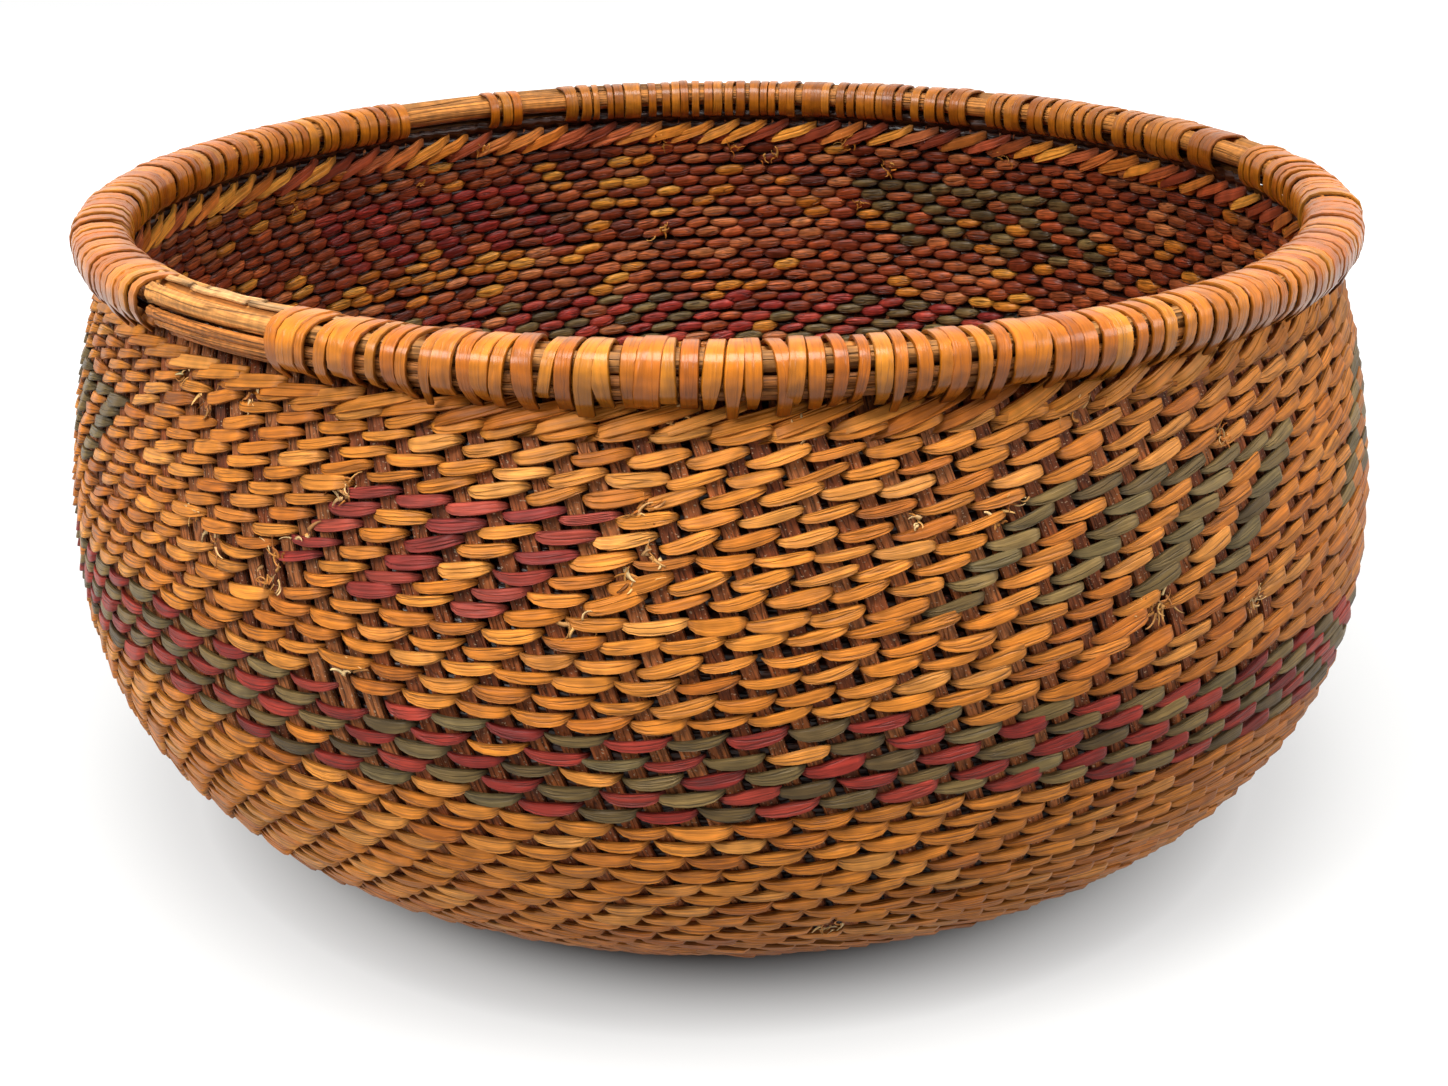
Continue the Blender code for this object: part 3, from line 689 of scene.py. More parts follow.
def degrees_inside_right(azimuth):
    """How far inside the right-hand part of the basket an azimuth lies."""
    return LEAF_REACH - np.abs(np.degrees(azimuth) % 360.0 - LEAF_MIDDLE)


def stitch_edge(along, which, boat, leaf):
    """Height of a stitch's upper (0) or lower (1) edge, blended from its three shapes."""
    band, hull, blade = (np.interp(along, EDGE_SHARES, shape[which]) / 1000
                         for shape in (BAND_MM, BOAT_MM, LEAF_MM))
    return (band * (1 - boat) + hull * boat) * (1 - leaf) + blade * leaf


stitch_blank = strand_blank("stitch_blank", 8, 8, crisp=True)


def outer_stitches(name, rows, node, slot, seed):
    """All the stitches of some rows on the wall's outer face."""
    row, number, middle, span = row_table(rows, STITCHES_OUTSIDE, FIGURE_OUTSIDE)
    kept = ~broken(row, middle)
    row, number, middle, span = row[kept], number[kept], middle[kept], span[kept]
    chance = np.random.default_rng(seed)
    along, up, out = blank_points(stitch_blank)
    along = crowded(along)
    vary = lambda spread, usual=1.0: chance.normal(usual, spread, (len(row), 1))
    radius = wall_radius(FIRST_ROW + (row + 0.5) * ROW_PITCH)
    below = np.where(row > BAND_LAST_ROW, smooth((UNDER_RADIUS - radius) / (UNDER_RADIUS - TURN_RADIUS)), 0.0)
    below = below[:, None]
    length = (OUTER_LENGTH + 0.22 * below) * vary(0.05)
    boat = np.clip((row[:, None] - BOAT_FROM_ROW) / BOAT_BLEND_ROWS + vary(0.3, 0.0), 0.0, 1.0)
    leaf = np.clip(degrees_inside_right(middle)[:, None] / 25.0 + vary(0.3, 0.0), 0.0, 1.0)
    top, low = stitch_edge(along, 0, boat, leaf), stitch_edge(along, 1, boat, leaf)
    middle = middle[:, None] + span[:, None] * vary(0.028, 0.0)
    azimuth = middle + (along - 0.5) * length * span[:, None]
    width = (top - low) * np.clip(vary(0.13), 0.74, 1.24) * (1 + 0.28 * below - 0.06 * leaf)
    slope = vary(0.00026, 0.0) - 0.0009 * below
    height = (top + low) / 2 + slope * (2 * along - 1) + squared(up, 0.42) * width / 2
    distance = row_distance(row[:, None], middle + 0.4 * (azimuth - middle))
    distance = distance - height * row_stretch(row[:, None], middle)
    full = smooth(np.minimum(along, 1 - along) / 0.2)
    flat_base = 0.0011 * smooth((row[:, None] - EDGE_ROW + 8) / 6.0)
    bulge, leaf_bulge = (np.interp(along, BULGE_SHARES, curve) / 1000 for curve in (BULGE_MM, LEAF_BULGE_MM))
    depth = OUTER_DEPTH + flat_base + bulge * (1 - leaf) + leaf_bulge * leaf + vary(0.0001, 0.0)
    depth = depth + TILE_TILT * vary(0.5) * up * width / 2
    depth = depth - squared(out, 0.22) * OUTER_THICKNESS / 2 * (0.6 + 0.4 * full)
    colours = paint_outside(row, number, middle[:, 0], chance)
    # Painted shade: each stitch darkens towards both ends, where it dives into the wall, along its edges and
    # along its lower edge. Its face is lifted a little above its tone, a painted highlight.
    shade = 1 - (0.36 + 0.25 * leaf) * near_start(along, 0.14) - (0.55 - 0.35 * leaf) * near_end(along, 0.14)
    shade = shade * (1.06 - 0.52 * (np.abs(up) > 0.9) - (0.18 + 0.22 * leaf) * (up < -0.5))
    strands(name, stitch_blank, wall_place(azimuth, distance, depth), colours, shade, (1.0, 0.7), seed + 1,
            split_root, slot, node)


# %% [markdown]
# ## Colours of the weft
#
# Undyed roots run from pale straw to golden brown, and are browner in part on the right. Under the belly the
# rows turn darker and browner, and the darkening there is painted shade.
# Five rows round the widest part are woven with one red and one green strand, so the colours take turns
# along a row, and the half-stitch step makes slanting stripes of them. Above them stand small comb figures:
# a bar of dyed stitches with slanting teeth below it, where the weaver has dyed the same stitch again and
# again as the rows step down. They are a plain traditional pattern, given here by rules of row and stitch.
# A few stitches have worn through and gone.

# %% Colour rules
ROOT_TONES = ("#d07e2a", "#d68632", "#c67424", "#d28230", "#b66620", "#de9444", "#c67628")
# the darker tones: under the belly they carry painted shade, on the right the roots' own browner colour
BROWN_AND_SHADE_TONES = ("#a05622", "#924c1e", "#ac622a", "#84421a")
RED_TONES = ("#96392c", "#822c24", "#a64634")
GREEN_TONES = ("#6a5530", "#564326", "#80673c", "#6e5c38")
BAND_RED = ("#922e22", "#7c221a", "#a23a2a")
WORN_SHARE = 0.05
RIGHT_BROWN = 0.30
COMB_TEETH_ROWS = 5
COMBS_OUTSIDE = (("red", 245.3, 3), ("green", 293.2, 4), ("green", 189.4, 4), ("green", 337.3, 4),
                 ("green", 46.0, 4), ("red", 117.0, 4))
COMBS_INSIDE = (("red", 116.2, 5), ("green", 46.0, 5), ("green", 190.0, 4), ("red", 250.0, 4),
                ("green", 300.0, 4), ("red", 345.0, 4))
BROKEN = ((9, 237.0), (10, 236.5), (14, 243.8), (15, 243.0), (2, 228.0), (9, 230.3), (11, 301.8), (12, 313.0),
          (29, 278.2))  # row and azimuth
BROKEN_WITHIN = math.radians(4.0)


def broken(row, middle):
    """True for the few stitches that have worn through and gone, so that the warps lie bare."""
    gone = np.zeros(len(row), bool)
    for lost_row, azimuth in BROKEN:
        away = np.abs((middle - math.radians(azimuth) + math.pi) % (2 * math.pi) - math.pi)
        away[row != lost_row] = math.inf
        if away.min() < BROKEN_WITHIN:
            gone[np.argmin(away)] = True
    return gone


def dye_rule(row, number, count, combs, first_column):
    """0 for an undyed stitch, 1 for a red and 2 for a green one, and which stitches are the dyed band's."""
    dye = np.zeros(len(row), int)
    below = row - FIGURE_ROW
    for colour, start, teeth in combs:
        first = round((math.radians(start) - first_column) / (2 * math.pi / count))
        column = (number - first) % count
        inside = column <= 2 * (teeth - 1)
        in_bar = inside & (below == 0)
        in_tooth = inside & (below > 0) & (below <= COMB_TEETH_ROWS) & (column % 2 == 0)
        dye[in_bar | in_tooth] = 1 if colour == "red" else 2
    in_band = (row >= UPPER_ROWS) & (row < BAND_LAST_ROW)
    dye[in_band] = 1 + ((number[in_band] + row[in_band]) % 2)
    return dye, in_band


def dyed(colours, dye, red, green):
    colours = np.where((dye == 1)[:, None], red, colours)
    return np.where((dye == 2)[:, None], green, colours)


def paint_outside(row, number, middle, chance):
    """A colour for each outer stitch from its row and place."""
    colours = blended(ROOT_TONES, len(row), chance)
    # Painted shade: the rows under the belly fade into the darker tones. On the right some of the same tones
    # mix in as the roots' own browner colour.
    low = smooth((row - BAND_LAST_ROW - 6) / 14.0)
    low = np.maximum(low, RIGHT_BROWN * smooth(degrees_inside_right(middle) / 40.0))[:, None]
    colours = colours * (1 - low) + blended(BROWN_AND_SHADE_TONES, len(row), chance) * low
    red = blended(RED_TONES, len(row), chance)
    green = blended(GREEN_TONES, len(row), chance)
    dye, in_band = dye_rule(row, number, STITCHES_OUTSIDE, COMBS_OUTSIDE, FIGURE_OUTSIDE)
    red = np.where(in_band[:, None], blended(BAND_RED, len(row), chance), red)
    dye[in_band & (chance.uniform(0, 1, len(row)) < WORN_SHARE)] = 0
    return dyed(colours, dye, red, green)


# %% Weave the outside
BELLY_LAST_ROW = BAND_LAST_ROW + 13
UNDER_LAST_ROW = BAND_LAST_ROW + 24

for name, first, stop, node, slot, seed in (
    ("weft_upper_outside", 0, UPPER_ROWS, "upper_weft_outside", "weft_golden", 31),
    ("weft_dyed_band_outside", UPPER_ROWS, BAND_LAST_ROW, "dyed_band_outside", "weft_dyed", 33),
    ("weft_belly_outside", BAND_LAST_ROW, BELLY_LAST_ROW, "lower_weft_outside", "weft_golden", 35),
    ("weft_under_belly_outside", BELLY_LAST_ROW, UNDER_LAST_ROW, "lower_weft_outside", "weft_golden", 36),
    ("weft_turn_outside", UNDER_LAST_ROW, EDGE_ROW, "lower_weft_outside", "weft_golden", 37),
    ("weft_base_outside", EDGE_ROW, ALL_ROWS, "base_weft_outside", "weft_golden", 39),
):
    outer_stitches(name, range(first, stop), node, slot, seed)

# %% [markdown]
# ## The inner stitches
#
# Inside, the same strands show their bark side: rounder, tighter ovals, dark red-brown, with a groove along
# them, and lighter roots here and there. They touch each other, so the warps don't show. A line of the
# blank's vertices that faces inwards is pressed in a little for the groove.

# %% Weave the inside
INNER_WIDTH = 0.00335
INNER_THICKNESS = 0.00180
INNER_RISE = 0.00055
INNER_LENGTH = 1.16
INNER_DEPTH = 0.0039
INSIDE_DARK = ("#a64c26", "#883a20", "#b86034", "#964428", "#c27442", "#74301c")
INSIDE_LIGHT = ("#d88830", "#c47024", "#e29a3c", "#c07428")
INSIDE_RED = ("#a0342a", "#862a24", "#ae4232")
INSIDE_GREEN = ("#6e5834", "#7e673c", "#5c492c")
LIGHT_SHARE = 0.13


def paint_inside(row, number, middle, chance):
    """A colour for each inner stitch from its row and place."""
    colours = blended(INSIDE_DARK, len(row), chance, 0.12)
    light = blended(INSIDE_LIGHT, len(row), chance)
    patches = np.sin(3 * middle + 0.7 * row) + np.sin(5 * middle - 0.4 * row + 1.0)
    chosen = chance.uniform(0, 1, len(row)) < LIGHT_SHARE * (1 + 0.9 * patches)
    colours = np.where(chosen[:, None], light, colours)
    red = blended(INSIDE_RED, len(row), chance, 0.1)
    green = blended(INSIDE_GREEN, len(row), chance, 0.1)
    dye, in_band = dye_rule(row, number, STITCHES_INSIDE, COMBS_INSIDE, FIGURE_INSIDE)
    dye[in_band & (chance.uniform(0, 1, len(row)) < np.where(dye == 2, 0.35, 0.1))] = 0
    return dyed(colours, dye, red, green)


inner_blank = strand_blank("inner_blank", 8, 5)


def inner_stitches(name, rows, node, slot, seed):
    """All the stitches of some rows on the wall's inner face."""
    row, number, middle, span = row_table(rows, STITCHES_INSIDE, FIGURE_INSIDE)
    chance = np.random.default_rng(seed)
    along, up, out = blank_points(inner_blank)
    vary = lambda spread, usual=1.0: chance.normal(usual, spread, (len(row), 1))
    length = INNER_LENGTH * vary(0.06)
    width = INNER_WIDTH * vary(0.10)
    rise = INNER_RISE * vary(0.3)
    middle = middle[:, None] + span[:, None] * vary(0.04, 0.0)
    azimuth = middle + (along - 0.5) * length * span[:, None]
    envelope = np.maximum(4 * along * (1 - along), 0.02) ** 0.36
    height = rise * (1 - 2 * along) + up * width / 2 * envelope
    distance = row_distance(row[:, None], azimuth) - height * row_stretch(row[:, None], middle)
    groove = np.where((np.abs(up) < 0.3) & (out < 0), chance.uniform(0.0, 0.55, (len(row), 1)), 0.0)
    thick = INNER_THICKNESS / 2 * (0.55 + 0.45 * envelope) * (1 - groove)
    ends = 0.0010 * (near_start(along, 0.25) + near_end(along, 0.25))
    depth = INNER_DEPTH - ends - out * thick + vary(0.00008, 0.0)
    colours = paint_inside(row, number, middle[:, 0], chance)
    # Painted shade: darker towards both ends, where the stitch dives into the wall, and along its edges.
    shade = 1 - 0.5 * near_start(along, 0.14) - 0.5 * near_end(along, 0.14)
    shade = shade * (1 - 0.35 * (np.abs(up) > 0.9))
    strands(name, inner_blank, wall_place(azimuth, distance, depth), colours, shade, (0.8, 0.8), seed + 1,
            inside_root, slot, node)


MIDDLE_LOWER_ROW = BAND_LAST_ROW + LOWER_ROWS // 2

for name, first, stop, node, slot, seed in (
    ("weft_upper_inside", 0, UPPER_ROWS, "upper_weft_inside", "weft_inside", 51),
    ("weft_dyed_band_inside", UPPER_ROWS, BAND_LAST_ROW, "dyed_band_inside", "weft_dyed", 53),
    ("weft_belly_inside", BAND_LAST_ROW, MIDDLE_LOWER_ROW, "lower_weft_inside", "weft_inside", 55),
    ("weft_turn_inside", MIDDLE_LOWER_ROW, EDGE_ROW, "lower_weft_inside", "weft_inside", 57),
    ("weft_base_inside", EDGE_ROW, ALL_ROWS, "base_weft_inside", "weft_inside", 59),
):
    inner_stitches(name, range(first, stop), node, slot, seed)

# %% [markdown]
# ## The border course
#
# Just under the rim a last course of broad strands locks the warps. Its stitches are nearly twice as long
# as the others, lie over the first row, and each starts beneath the middle of the one before, so the course
# looks like a rope of slanting bands. On the right they are shorter and steeper, on the left level and low.

# %% Weave the border
BORDER_MIDDLE = FIRST_ROW - 0.0005
BORDER_RISE = 0.0028
BORDER_LENGTH = 1.95
BORDER_WIDTH = 0.0029
BORDER_THICKNESS = 0.0011
BORDER_TILT = 0.34
BORDER_LEFT = (170.0, 252.0)

border_blank = strand_blank("border_blank", 8, 12, crisp=True)


def border(name, side, tones, node, seed, slot):
    """The long slanting stitches of the border, outside (side 1) or inside the wall (side -1)."""
    count = STITCHES_OUTSIDE if side > 0 else STITCHES_INSIDE
    chance = np.random.default_rng(seed)
    along, up, out = blank_points(border_blank)
    along = crowded(along)
    vary = lambda spread, usual=1.0: chance.normal(usual, spread, (count, 1))
    span = 2 * math.pi / count
    middle = (np.arange(count)[:, None] + 0.3 + vary(0.05, 0.0)) * span
    middle = middle + lean(BORDER_MIDDLE) - FIGURE_LEAN + FIGURE_OUTSIDE
    degrees = np.degrees(middle) % 360.0
    right = smooth(degrees_inside_right(middle) / 35.0) * (side > 0)
    left = smooth((degrees - BORDER_LEFT[0]) / 30.0) * smooth((BORDER_LEFT[1] - degrees) / 18.0) * (side > 0)
    azimuth = middle + (along - 0.5) * (BORDER_LENGTH - 0.35 * right) * vary(0.05) * span
    envelope = np.maximum(4 * along * (1 - along), 0.12) ** 0.12
    rise = side * (BORDER_RISE + 0.0008 * right - 0.0014 * left) * vary(0.1)
    height = rise * (2 * along - 1) - 0.0012 * left - 0.0005 * right * np.sin(math.pi * along)
    height = height + squared(up, 0.45) * BORDER_WIDTH / 2 * envelope * vary(0.08)
    face = OUTER_DEPTH if side > 0 else INNER_DEPTH
    dips = 0.0017 * near_start(along, 0.32) + 0.0009 * near_end(along, 0.12) - 0.0004
    tilt = BORDER_TILT * up * BORDER_WIDTH / 2
    depth = face + side * (dips + tilt) - squared(out, 0.3) * BORDER_THICKNESS / 2 * (0.7 + 0.3 * envelope)
    colours = blended(tones, count, chance)
    # Painted shade: darker at both ends, where the strand dips into the wall, along its edges and along its
    # lower edge. The face is 1.26 times as bright as its tone.
    shade = 1 - 0.6 * near_start(along, 0.22) - 0.4 * near_end(along, 0.10)
    shade = shade * (1.26 - 0.60 * (np.abs(up) > 0.9) - 0.20 * (up < -0.5))
    places = wall_place(azimuth, BORDER_MIDDLE - height, depth)
    strands(name, border_blank, places, colours, shade, (1.6, 0.75), seed + 1, border_root, slot, node)


border("border_outside", 1, ROOT_TONES, "border_strand_first", 61, "weft_golden")
border("border_inside", -1, INSIDE_LIGHT + INSIDE_DARK, "border_strand_second", 63, "weft_inside")

# %% [markdown]
# ## The rim's rods
#
# The rim is a bundle: one round rod on the inside, and six long splints of split wood laid on its outside.
# The round rod closes on itself. The splints start and stop at the gap on the front left, where their rough,
# lumpy ends show at uneven lengths, the topmost being the thickest. Two rows of pale strips, cracked into
# short lengths, lie on the rod there.

# %% Bend the rods of the rim
ROD_RADIUS = 0.0026
ROD_PLACE = (RIM_RADIUS - 0.0023, RIM_HEIGHT + 0.0010)
HOOP_STEPS = 150
SPLINTS = (  # outward, upward, half width, half thickness in mm, and the azimuth where its cut end shows
    (2.9, 2.2, 1.90, 1.65, 220.9), (4.3, -0.5, 1.05, 0.90, 221.6), (4.0, -2.1, 0.90, 0.90, 222.4),
    (2.7, -3.3, 0.95, 1.00, 224.2), (0.8, -3.3, 1.20, 1.10, 222.8), (1.2, 0.7, 1.50, 1.60, 221.6),
)
SPLINT_TURN = 357.0
SPLINTS_BARE_TO = 238.0
SPLINT_TONES = ("#dc9650", "#c47836", "#cb803e", "#b0682c", "#c0783c", "#a8622c")
SPLINTS_BARE_FROM = 219.0
ROD_TONE = "#c07c3a"
STRIP_TONES = ("#dca468", "#d0924e", "#e2b078")
STRIPS = (  # the pale lengths on the rod's top by the gap: outward, upward in mm, from and to an azimuth
    (-3.5, 3.75, 216.0, 225.2), (-3.4, 3.85, 225.6, 232.6), (-3.5, 3.80, 232.9, 247.0),
    (-1.5, 4.20, 216.5, 224.3), (-1.4, 4.10, 224.6, 231.8), (-1.5, 4.20, 232.1, 247.0),
)


def rim_place(azimuth, outward, upward):
    """Points about the rim's middle line."""
    radius = RIM_RADIUS + outward
    height = RIM_HEIGHT + upward + 0 * azimuth
    return np.stack([radius * np.cos(azimuth), radius * np.sin(azimuth), height], -1)


bm = bmesh.new()
bmesh.ops.create_circle(bm, cap_ends=False, segments=12, radius=ROD_RADIUS,
                        matrix=Matrix.Translation((ROD_PLACE[0], 0.0, ROD_PLACE[1]))
                        @ Matrix.Rotation(math.pi / 2, 4, "X"))
bmesh.ops.spin(bm, geom=list(bm.verts) + list(bm.edges), cent=(0, 0, 0), axis=(0, 0, 1),
               angle=2 * math.pi, steps=HOOP_STEPS, use_merge=True, use_duplicate=False)
bmesh.ops.remove_doubles(bm, verts=bm.verts, dist=0.00001)
bmesh.ops.recalc_face_normals(bm, faces=bm.faces)
for vert in bm.verts:
    azimuth = math.atan2(vert.co.y, vert.co.x)
    vert.co.z += 0.0002 * math.sin(5 * azimuth) + 0.00012 * math.sin(13 * azimuth)
layer = bm.loops.layers.uv.new(FIBRE_MAP)
for face in bm.faces:
    face.smooth = True
    middle = face.calc_center_median()
    middle_azimuth = math.atan2(middle.y, middle.x)
    for loop in face.loops:
        place = loop.vert.co
        azimuth = math.atan2(place.y, place.x)
        azimuth = middle_azimuth + (azimuth - middle_azimuth + math.pi) % (2 * math.pi) - math.pi
        outer_half = math.hypot(place.x, place.y) > ROD_PLACE[0]
        round_rod = (place.z - ROD_PLACE[1]) / ROD_RADIUS + outer_half * 2.0
        loop[layer].uv = (azimuth * RIM_RADIUS * 100, round_rod * ROD_RADIUS * 100)
rod_mesh = mesh_from(bm, "rim_round_rod")
give_colour(rod_mesh, np.tile(linear(ROD_TONE), (len(rod_mesh.vertices), 1)).astype(np.float32))
finish_piece("rim_round_rod", rod_mesh, split_wood, "hoop_wood", "rim_hoop_rod")

# %% Split splints on the outside of the rim
splint_blank = strand_blank("splint_blank", 8, 240)
along, up, out = blank_points(splint_blank)
chance = np.random.default_rng(71)
count = len(SPLINTS)
outward, upward, half_width, half_thickness, cut_at = (column[:, None] for column in np.array(SPLINTS).T)
along = along ** 1.4
azimuth = np.radians(cut_at + along * SPLINT_TURN)
from_cut = along * math.radians(SPLINT_TURN) * RIM_RADIUS * 1000
wander = chance.uniform(0, 6.3, (count, 3))
lumps = 1 + 0.20 * np.sin(from_cut * 2.4 + wander[:, 2:]) * np.exp(-from_cut / 5.0)
outward = outward / 1000 + 0.00016 * np.sin(7 * azimuth + wander[:, :1]) + out * half_thickness * lumps / 1000
upward = upward / 1000 + 0.00016 * np.sin(6 * azimuth + wander[:, 1:2]) + up * half_width * lumps / 1000
turned = np.degrees(azimuth) % 360.0
bare = smooth((SPLINTS_BARE_TO - turned) / 1.5) * smooth((turned - SPLINTS_BARE_FROM) / 2.0)
# The splints are darker at their cut ends. Painted shade darkens their edges and, outside the gap, the
# lengths under the lashing, which show only between its turns.
shade = 1 - 0.35 * np.exp(-from_cut / 1.2) - 0.12 * (np.abs(up) > 0.9)
shade = shade * (0.58 + 0.42 * bare)  # darker under the lashing
strands("rim_splints", splint_blank, rim_place(azimuth, outward, upward), palette(SPLINT_TONES), shade,
        (84.0, 0.7), 72, split_wood, "hoop_wood", "rim_split_rod_lower", "rim_split_rod_upper")

# %% Pale strips on the rod beside the gap
strip_blank = strand_blank("strip_blank", 8, 12)
along, across, up = blank_points(strip_blank)
chance = np.random.default_rng(75)
outward, upward, start, stop = (column[:, None] for column in np.array(STRIPS).T)
count = len(STRIPS)
azimuth = np.radians(start + along * (stop - start))
kink = chance.normal(0, 0.16, (count, 1)) * (2 * along - 1)
kink = kink + 0.10 * np.sin(along * 9 + chance.uniform(0, 6, (count, 1)))
outward = (outward + 0.95 * across * (1 + 0.06 * np.sin(along * 14))) / 1000
upward = (upward + kink + 0.50 * up - 0.22 * np.abs(across) ** 2) / 1000
# Darker at the cracked ends, and painted shade along the edges.
shade = 1 - 0.45 * (np.abs(2 * along - 1) > 0.97) - 0.15 * (np.abs(across) > 0.9)
strands("rim_inner_strips", strip_blank, rim_place(azimuth, outward, upward),
        blended(STRIP_TONES, count, chance), shade, (2.4, 0.5), 76, split_wood, "hoop_wood", "rim_hoop_rod")

# %% [markdown]
# ## The lashing
#
# A flat strand of polished root binds the bundle, about 225 turns of it, and passes down between the warps
# at each turn. Each turn here is its own strip: it starts tucked under the rim outside, climbs the outer
# face, goes over the top and ends under the rim inside. The turns vary in width and slant, as hand-made
# ones do, and twelve are placed one by one. Where they are missing, in a few places, the rods show. At the
# back the lashing is darker. Each turn carries painted shade low on its outer face and along its edges, and
# it is darker on its inner side.

# %% Bind the rim
LASHING_RUNS = {
    "rim_lashing_front": (236.5, 304.0),
    "rim_lashing_right": (304.8, 371.4),
    "rim_lashing_back_right": (377.4, 414.1),
    "rim_lashing_back": (416.1, 470.2),
    "rim_lashing_short": (475.1, 479.4),
    "rim_lashing_left": (490.4, 580.6),
}
TURN_PITCH = 0.0033
TURN_WIDTH = 0.0028
TURN_THICKNESS = 0.0008
BUNDLE_HALF_WIDTH = 0.0060
BUNDLE_HALF_HEIGHT = 0.0048
BUNDLE_ROUNDNESS = 2.7
TURN_FROM = -62.0
TURN_ROUND = 310.0
LASHING_TONES = ("#ce7414", "#d67e1c", "#c46a12", "#cc7418", "#b8600e", "#d98826")
# darker tones for the turns at the back
BACK_LASHING_TONES = ("#b06214", "#bc6c18", "#a45810", "#c07420")
ODD_TURNS = (  # azimuth, times the width, slant in mm, and how many mm further down it reaches
    (238.2, 1.5, 1.6, 0.6), (243.0, 1.3, 0.8, 0.4), (265.2, 1.55, 1.0, 0.9), (266.8, 1.30, -0.6, 0.5),
    (273.4, 1.00, -0.9, 2.6), (276.0, 1.05, 0.2, 1.6), (281.0, 1.1, 0.3, 1.5), (258.0, 0.8, 2.0, 0.2),
    (219.6, 1.5, 0.9, 0.8), (216.8, 1.3, 0.2, 1.6), (251.0, 1.4, 0.9, 0.8), (290.6, 1.35, 1.0, 0.5),
)


def bundle_section(angle):
    """Out and up from the bundle's middle, round its section; angle 0 is outwards, 90 degrees is up."""
    c, s = np.cos(angle), np.sin(angle)
    reach = (np.abs(c) ** BUNDLE_ROUNDNESS + np.abs(s) ** BUNDLE_ROUNDNESS) ** (-1 / BUNDLE_ROUNDNESS)
    return BUNDLE_HALF_WIDTH * reach * c, BUNDLE_HALF_HEIGHT * reach * s


lashing_blank = strand_blank("lashing_blank", 8, 16, crisp=True)


def lashing_turns(node, start, end, seed, tones):
    """One run of the lashing: separate turns side by side."""
    length = math.radians(end - start) * RIM_RADIUS
    count = max(3, round(length / TURN_PITCH))
    chance = np.random.default_rng(seed)
    along, across, out = blank_points(lashing_blank)
    vary = lambda spread, usual=1.0: chance.normal(usual, spread, (count, 1))
    middle = math.radians(start) + (np.arange(count)[:, None] + 0.5) * math.radians(end - start) / count
    middle = middle + vary(0.00045, 0.0) / RIM_RADIUS
    width = TURN_WIDTH * np.clip(vary(0.16), 0.68, 1.3)
    slant = vary(0.0008, 0.0005)
    drop = 0.0010 + np.abs(vary(0.0008, 0.0))
    proud = np.abs(vary(0.00022, 0.0))
    for azimuth, wider, odd_slant, reach in ODD_TURNS:
        nearest = np.argmin(np.abs(np.degrees(middle[:, 0]) - azimuth))
        if abs(math.degrees(middle[nearest, 0]) - azimuth) < 1.0:
            width[nearest], slant[nearest], drop[nearest] = TURN_WIDTH * wider, odd_slant / 1000, reach / 1000
            proud[nearest] = 0.0011 * max(wider - 1.0, 0.0)
    angle = np.radians(TURN_FROM + vary(5.0, 0.0) * (1 - along)) + along * np.radians(TURN_ROUND)
    outward, upward = bundle_section(angle)
    ahead = bundle_section(angle + 0.02)
    tangent = np.stack([ahead[0] - outward, ahead[1] - upward])
    tangent = tangent / np.hypot(*tangent)
    tuck = near_start(along, 0.10)
    outward = outward - np.clip(0.0024 - drop, 0.0004, 0.0018) * tuck
    upward = upward - drop * tuck
    lift = (squared(out, 0.35) - 1) * TURN_THICKNESS / 2 + proud
    narrow = 1 - chance.uniform(0.0, 0.45, (count, 1)) * near_start(along, 0.18)
    bow = 0.00025 * vary(1.0, 0.0) * np.sin(along * 2 * math.pi)
    aside = squared(across, 0.5) * width / 2 * narrow + slant * (np.minimum(along, 0.6) / 0.45 - 0.5) + bow
    places = rim_place(middle + aside / RIM_RADIUS, outward + tangent[1] * lift, upward - tangent[0] * lift)
    colours = blended(tones, count, chance)
    # Painted shade low on the outer face, where the turn tucks under the rim, and along the edges. The inner
    # side, past the top, is darker as well.
    shade = 1 - 0.50 * near_start(along, 0.36) - 0.28 * smooth((along - 0.5) / 0.12)
    shade = shade - 0.45 * (np.abs(across) > 0.9)
    strands(node + "_turns", lashing_blank, places, colours, shade, (2.6, 0.7), seed + 1, peeled_root,
            "lashing_golden", node)


for index, (node, (start, end)) in enumerate(LASHING_RUNS.items()):
    lashing_turns(node, start, end, 81 + 2 * index, BACK_LASHING_TONES if "back" in node else LASHING_TONES)

# %% [markdown]
# ## The middle of the base
#
# The basket was started with two sets of four rods laid across each other. They fan out under the first
# rows of weft, and the square where they cross shows inside and underneath.

# %% Cross the starting rods
RODS_PER_LAYER = 4
CROSS_REACH = 0.0150
CROSS_STRAIGHT = 0.0070
CROSS_HEIGHTS = (0.0011, 0.0029)
CROSS_FAN_RISE = (0.0024, -0.0009)
CROSS_SPACING = 0.0034
CROSS_ROD_WIDTH = 0.0030
CROSS_ROD_THICKNESS = 0.0014

cross_blank = strand_blank("cross_blank", 8, 12)
along, sideways, out = blank_points(cross_blank)
chance = np.random.default_rng(101)
layer = np.repeat([0, 1], RODS_PER_LAYER)[:, None]
shift = (np.tile(np.arange(RODS_PER_LAYER), 2)[:, None] - (RODS_PER_LAYER - 1) / 2) * CROSS_SPACING
forward = (2 * along - 1) * CROSS_REACH + 0 * shift
fanned = np.clip((np.abs(forward) - CROSS_STRAIGHT) / CROSS_REACH, 0, 1)
beside = shift * (1 + 1.5 * fanned) + squared(sideways, 0.6) * CROSS_ROD_WIDTH / 2
height = np.array(CROSS_HEIGHTS)[layer] + fanned * np.array(CROSS_FAN_RISE)[layer]
height = height + out * CROSS_ROD_THICKNESS / 2
places = np.stack([np.where(layer == 0, forward, beside), np.where(layer == 0, beside, forward), height], -1)
colours = WARP_TONES[chance.integers(0, len(WARP_TONES), len(layer))]
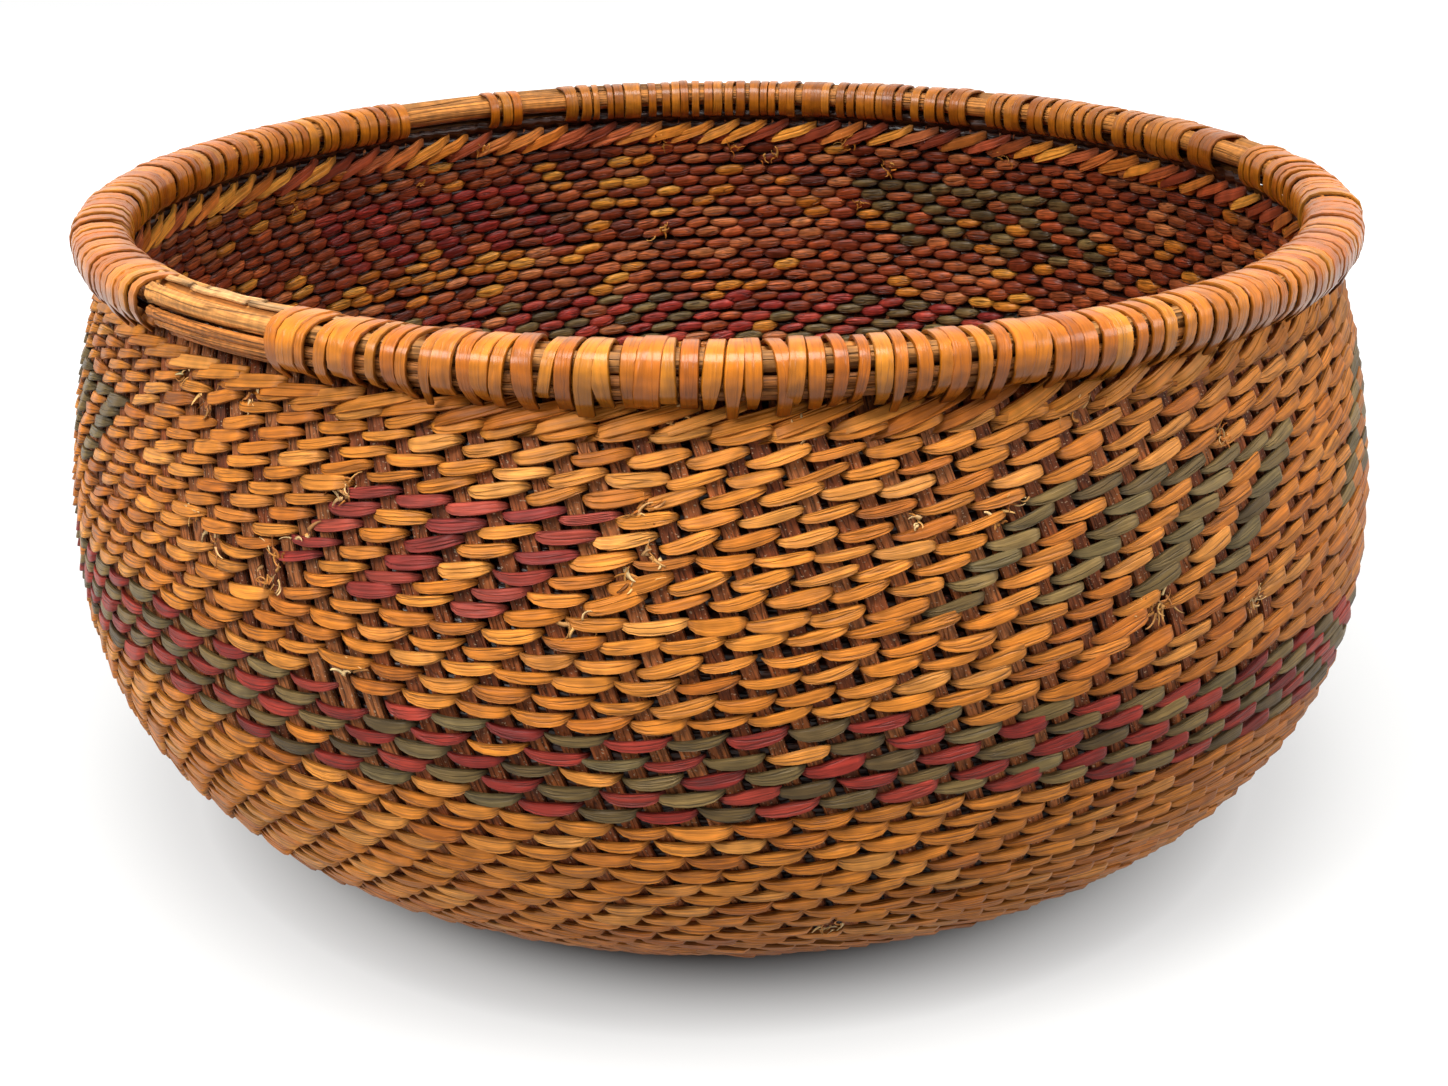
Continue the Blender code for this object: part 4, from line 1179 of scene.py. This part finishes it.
strands("starting_cross", cross_blank, places, colours, 1.0, (3.0, 0.8), 102, shoot_bark, "warp_bark",
        *[node for node in rods if node.startswith("starting_rod")])

# %% [markdown]
# ## Worn places
#
# The basket is old. Here and there a strand has frayed or snapped, and short curled fibres stand out of the
# weave, paler than the root's face because they show its inside. Each place in the lists gets a small tuft.

# %% Fray the worn places
FRAYED = (  # azimuth, distance down the outline in mm, and how many fibres stand out there
    (242.8, 25.0, 14), (239.5, 33.8, 6), (237.8, 38.8, 6), (237.0, 43.0, 14), (243.8, 57.0, 7),
    (264.8, 23.0, 12), (228.0, 15.5, 8), (228.5, 36.5, 7), (230.3, 39.5, 6), (290.8, 25.0, 7),
    (289.2, 28.3, 7), (283.0, 27.3, 6), (301.8, 48.8, 22), (312.2, 54.8, 24), (265.2, 31.0, 6),
    (264.0, 35.0, 7), (261.0, 42.5, 5), (278.2, 109.5, 10), (233.0, 12.0, 8), (225.0, 11.5, 6),
    (275.5, 9.0, 9), (267.0, 8.0, 7), (296.0, 12.5, 6), (310.0, 22.0, 14),
)
FRAYED_INSIDE = (
    (83.5, 17.0, 8), (67.8, 20.0, 7), (97.0, 42.0, 6), (96.8, 11.0, 6), (87.8, 14.5, 6), (73.5, 11.5, 7),
    (71.8, 31.0, 6), (120.3, 9.0, 9), (147.0, 17.0, 5), (129.2, 18.0, 5), (52.0, 12.0, 5),
)
FRAY_TONES = ("#e6b068", "#d0883c", "#f0c88c", "#b86a28")
FRAY_TONES_INSIDE = ("#d88a30", "#c07424", "#e6a854")

fray_blank = strand_blank("fray_blank", 4, 6)


def frays(name, side, spots, tones, node, slot, seed):
    """Tufts of curled fibres on the outside (side 1) or the inside (side -1) of the wall."""
    azimuth, distance, fibres = np.array(spots).T
    which = np.repeat(np.arange(len(spots)), fibres.astype(int))
    count = len(which)
    chance = np.random.default_rng(seed)
    draw = lambda least, most: chance.uniform(least, most, (count, 1))
    along, across, out = blank_points(fray_blank)
    length, heading = draw(0.0010, 0.0040), draw(0.0, 2 * math.pi)
    curl = draw(0.4, 2.6) * chance.choice([-1.0, 1.0], (count, 1))
    facing = heading + curl * along
    half_width = draw(0.00014, 0.00052) * (1 - 0.7 * along)
    round_wall = length * (np.sin(facing) - np.sin(heading)) / curl - np.sin(facing) * across * half_width
    down_wall = length * (np.cos(heading) - np.cos(facing)) / curl + np.cos(facing) * across * half_width
    distance = distance[which][:, None] / 1000 + chance.normal(0, 0.0009, (count, 1)) + down_wall
    aside = chance.normal(0, 0.0012, (count, 1)) + round_wall
    azimuth = np.radians(azimuth[which])[:, None] + aside / RIM_RADIUS
    face = OUTER_DEPTH - 0.0004 if side > 0 else INNER_DEPTH + 0.0008
    depth = face - side * (draw(0.0001, 0.0009) * along ** 1.5 + out * 0.00008)
    colours = blended(tones, count, chance, 0.12)
    strands(name, fray_blank, wall_place(azimuth, distance, depth), colours, 1.0, (0.3, 0.1), seed + 1,
            split_root, slot, node)


frays("frayed_fibres_outside", 1, FRAYED, FRAY_TONES, "upper_weft_outside", "weft_golden", 111)
frays("frayed_fibres_inside", -1, FRAYED_INSIDE, FRAY_TONES_INSIDE, "upper_weft_inside", "weft_inside", 113)
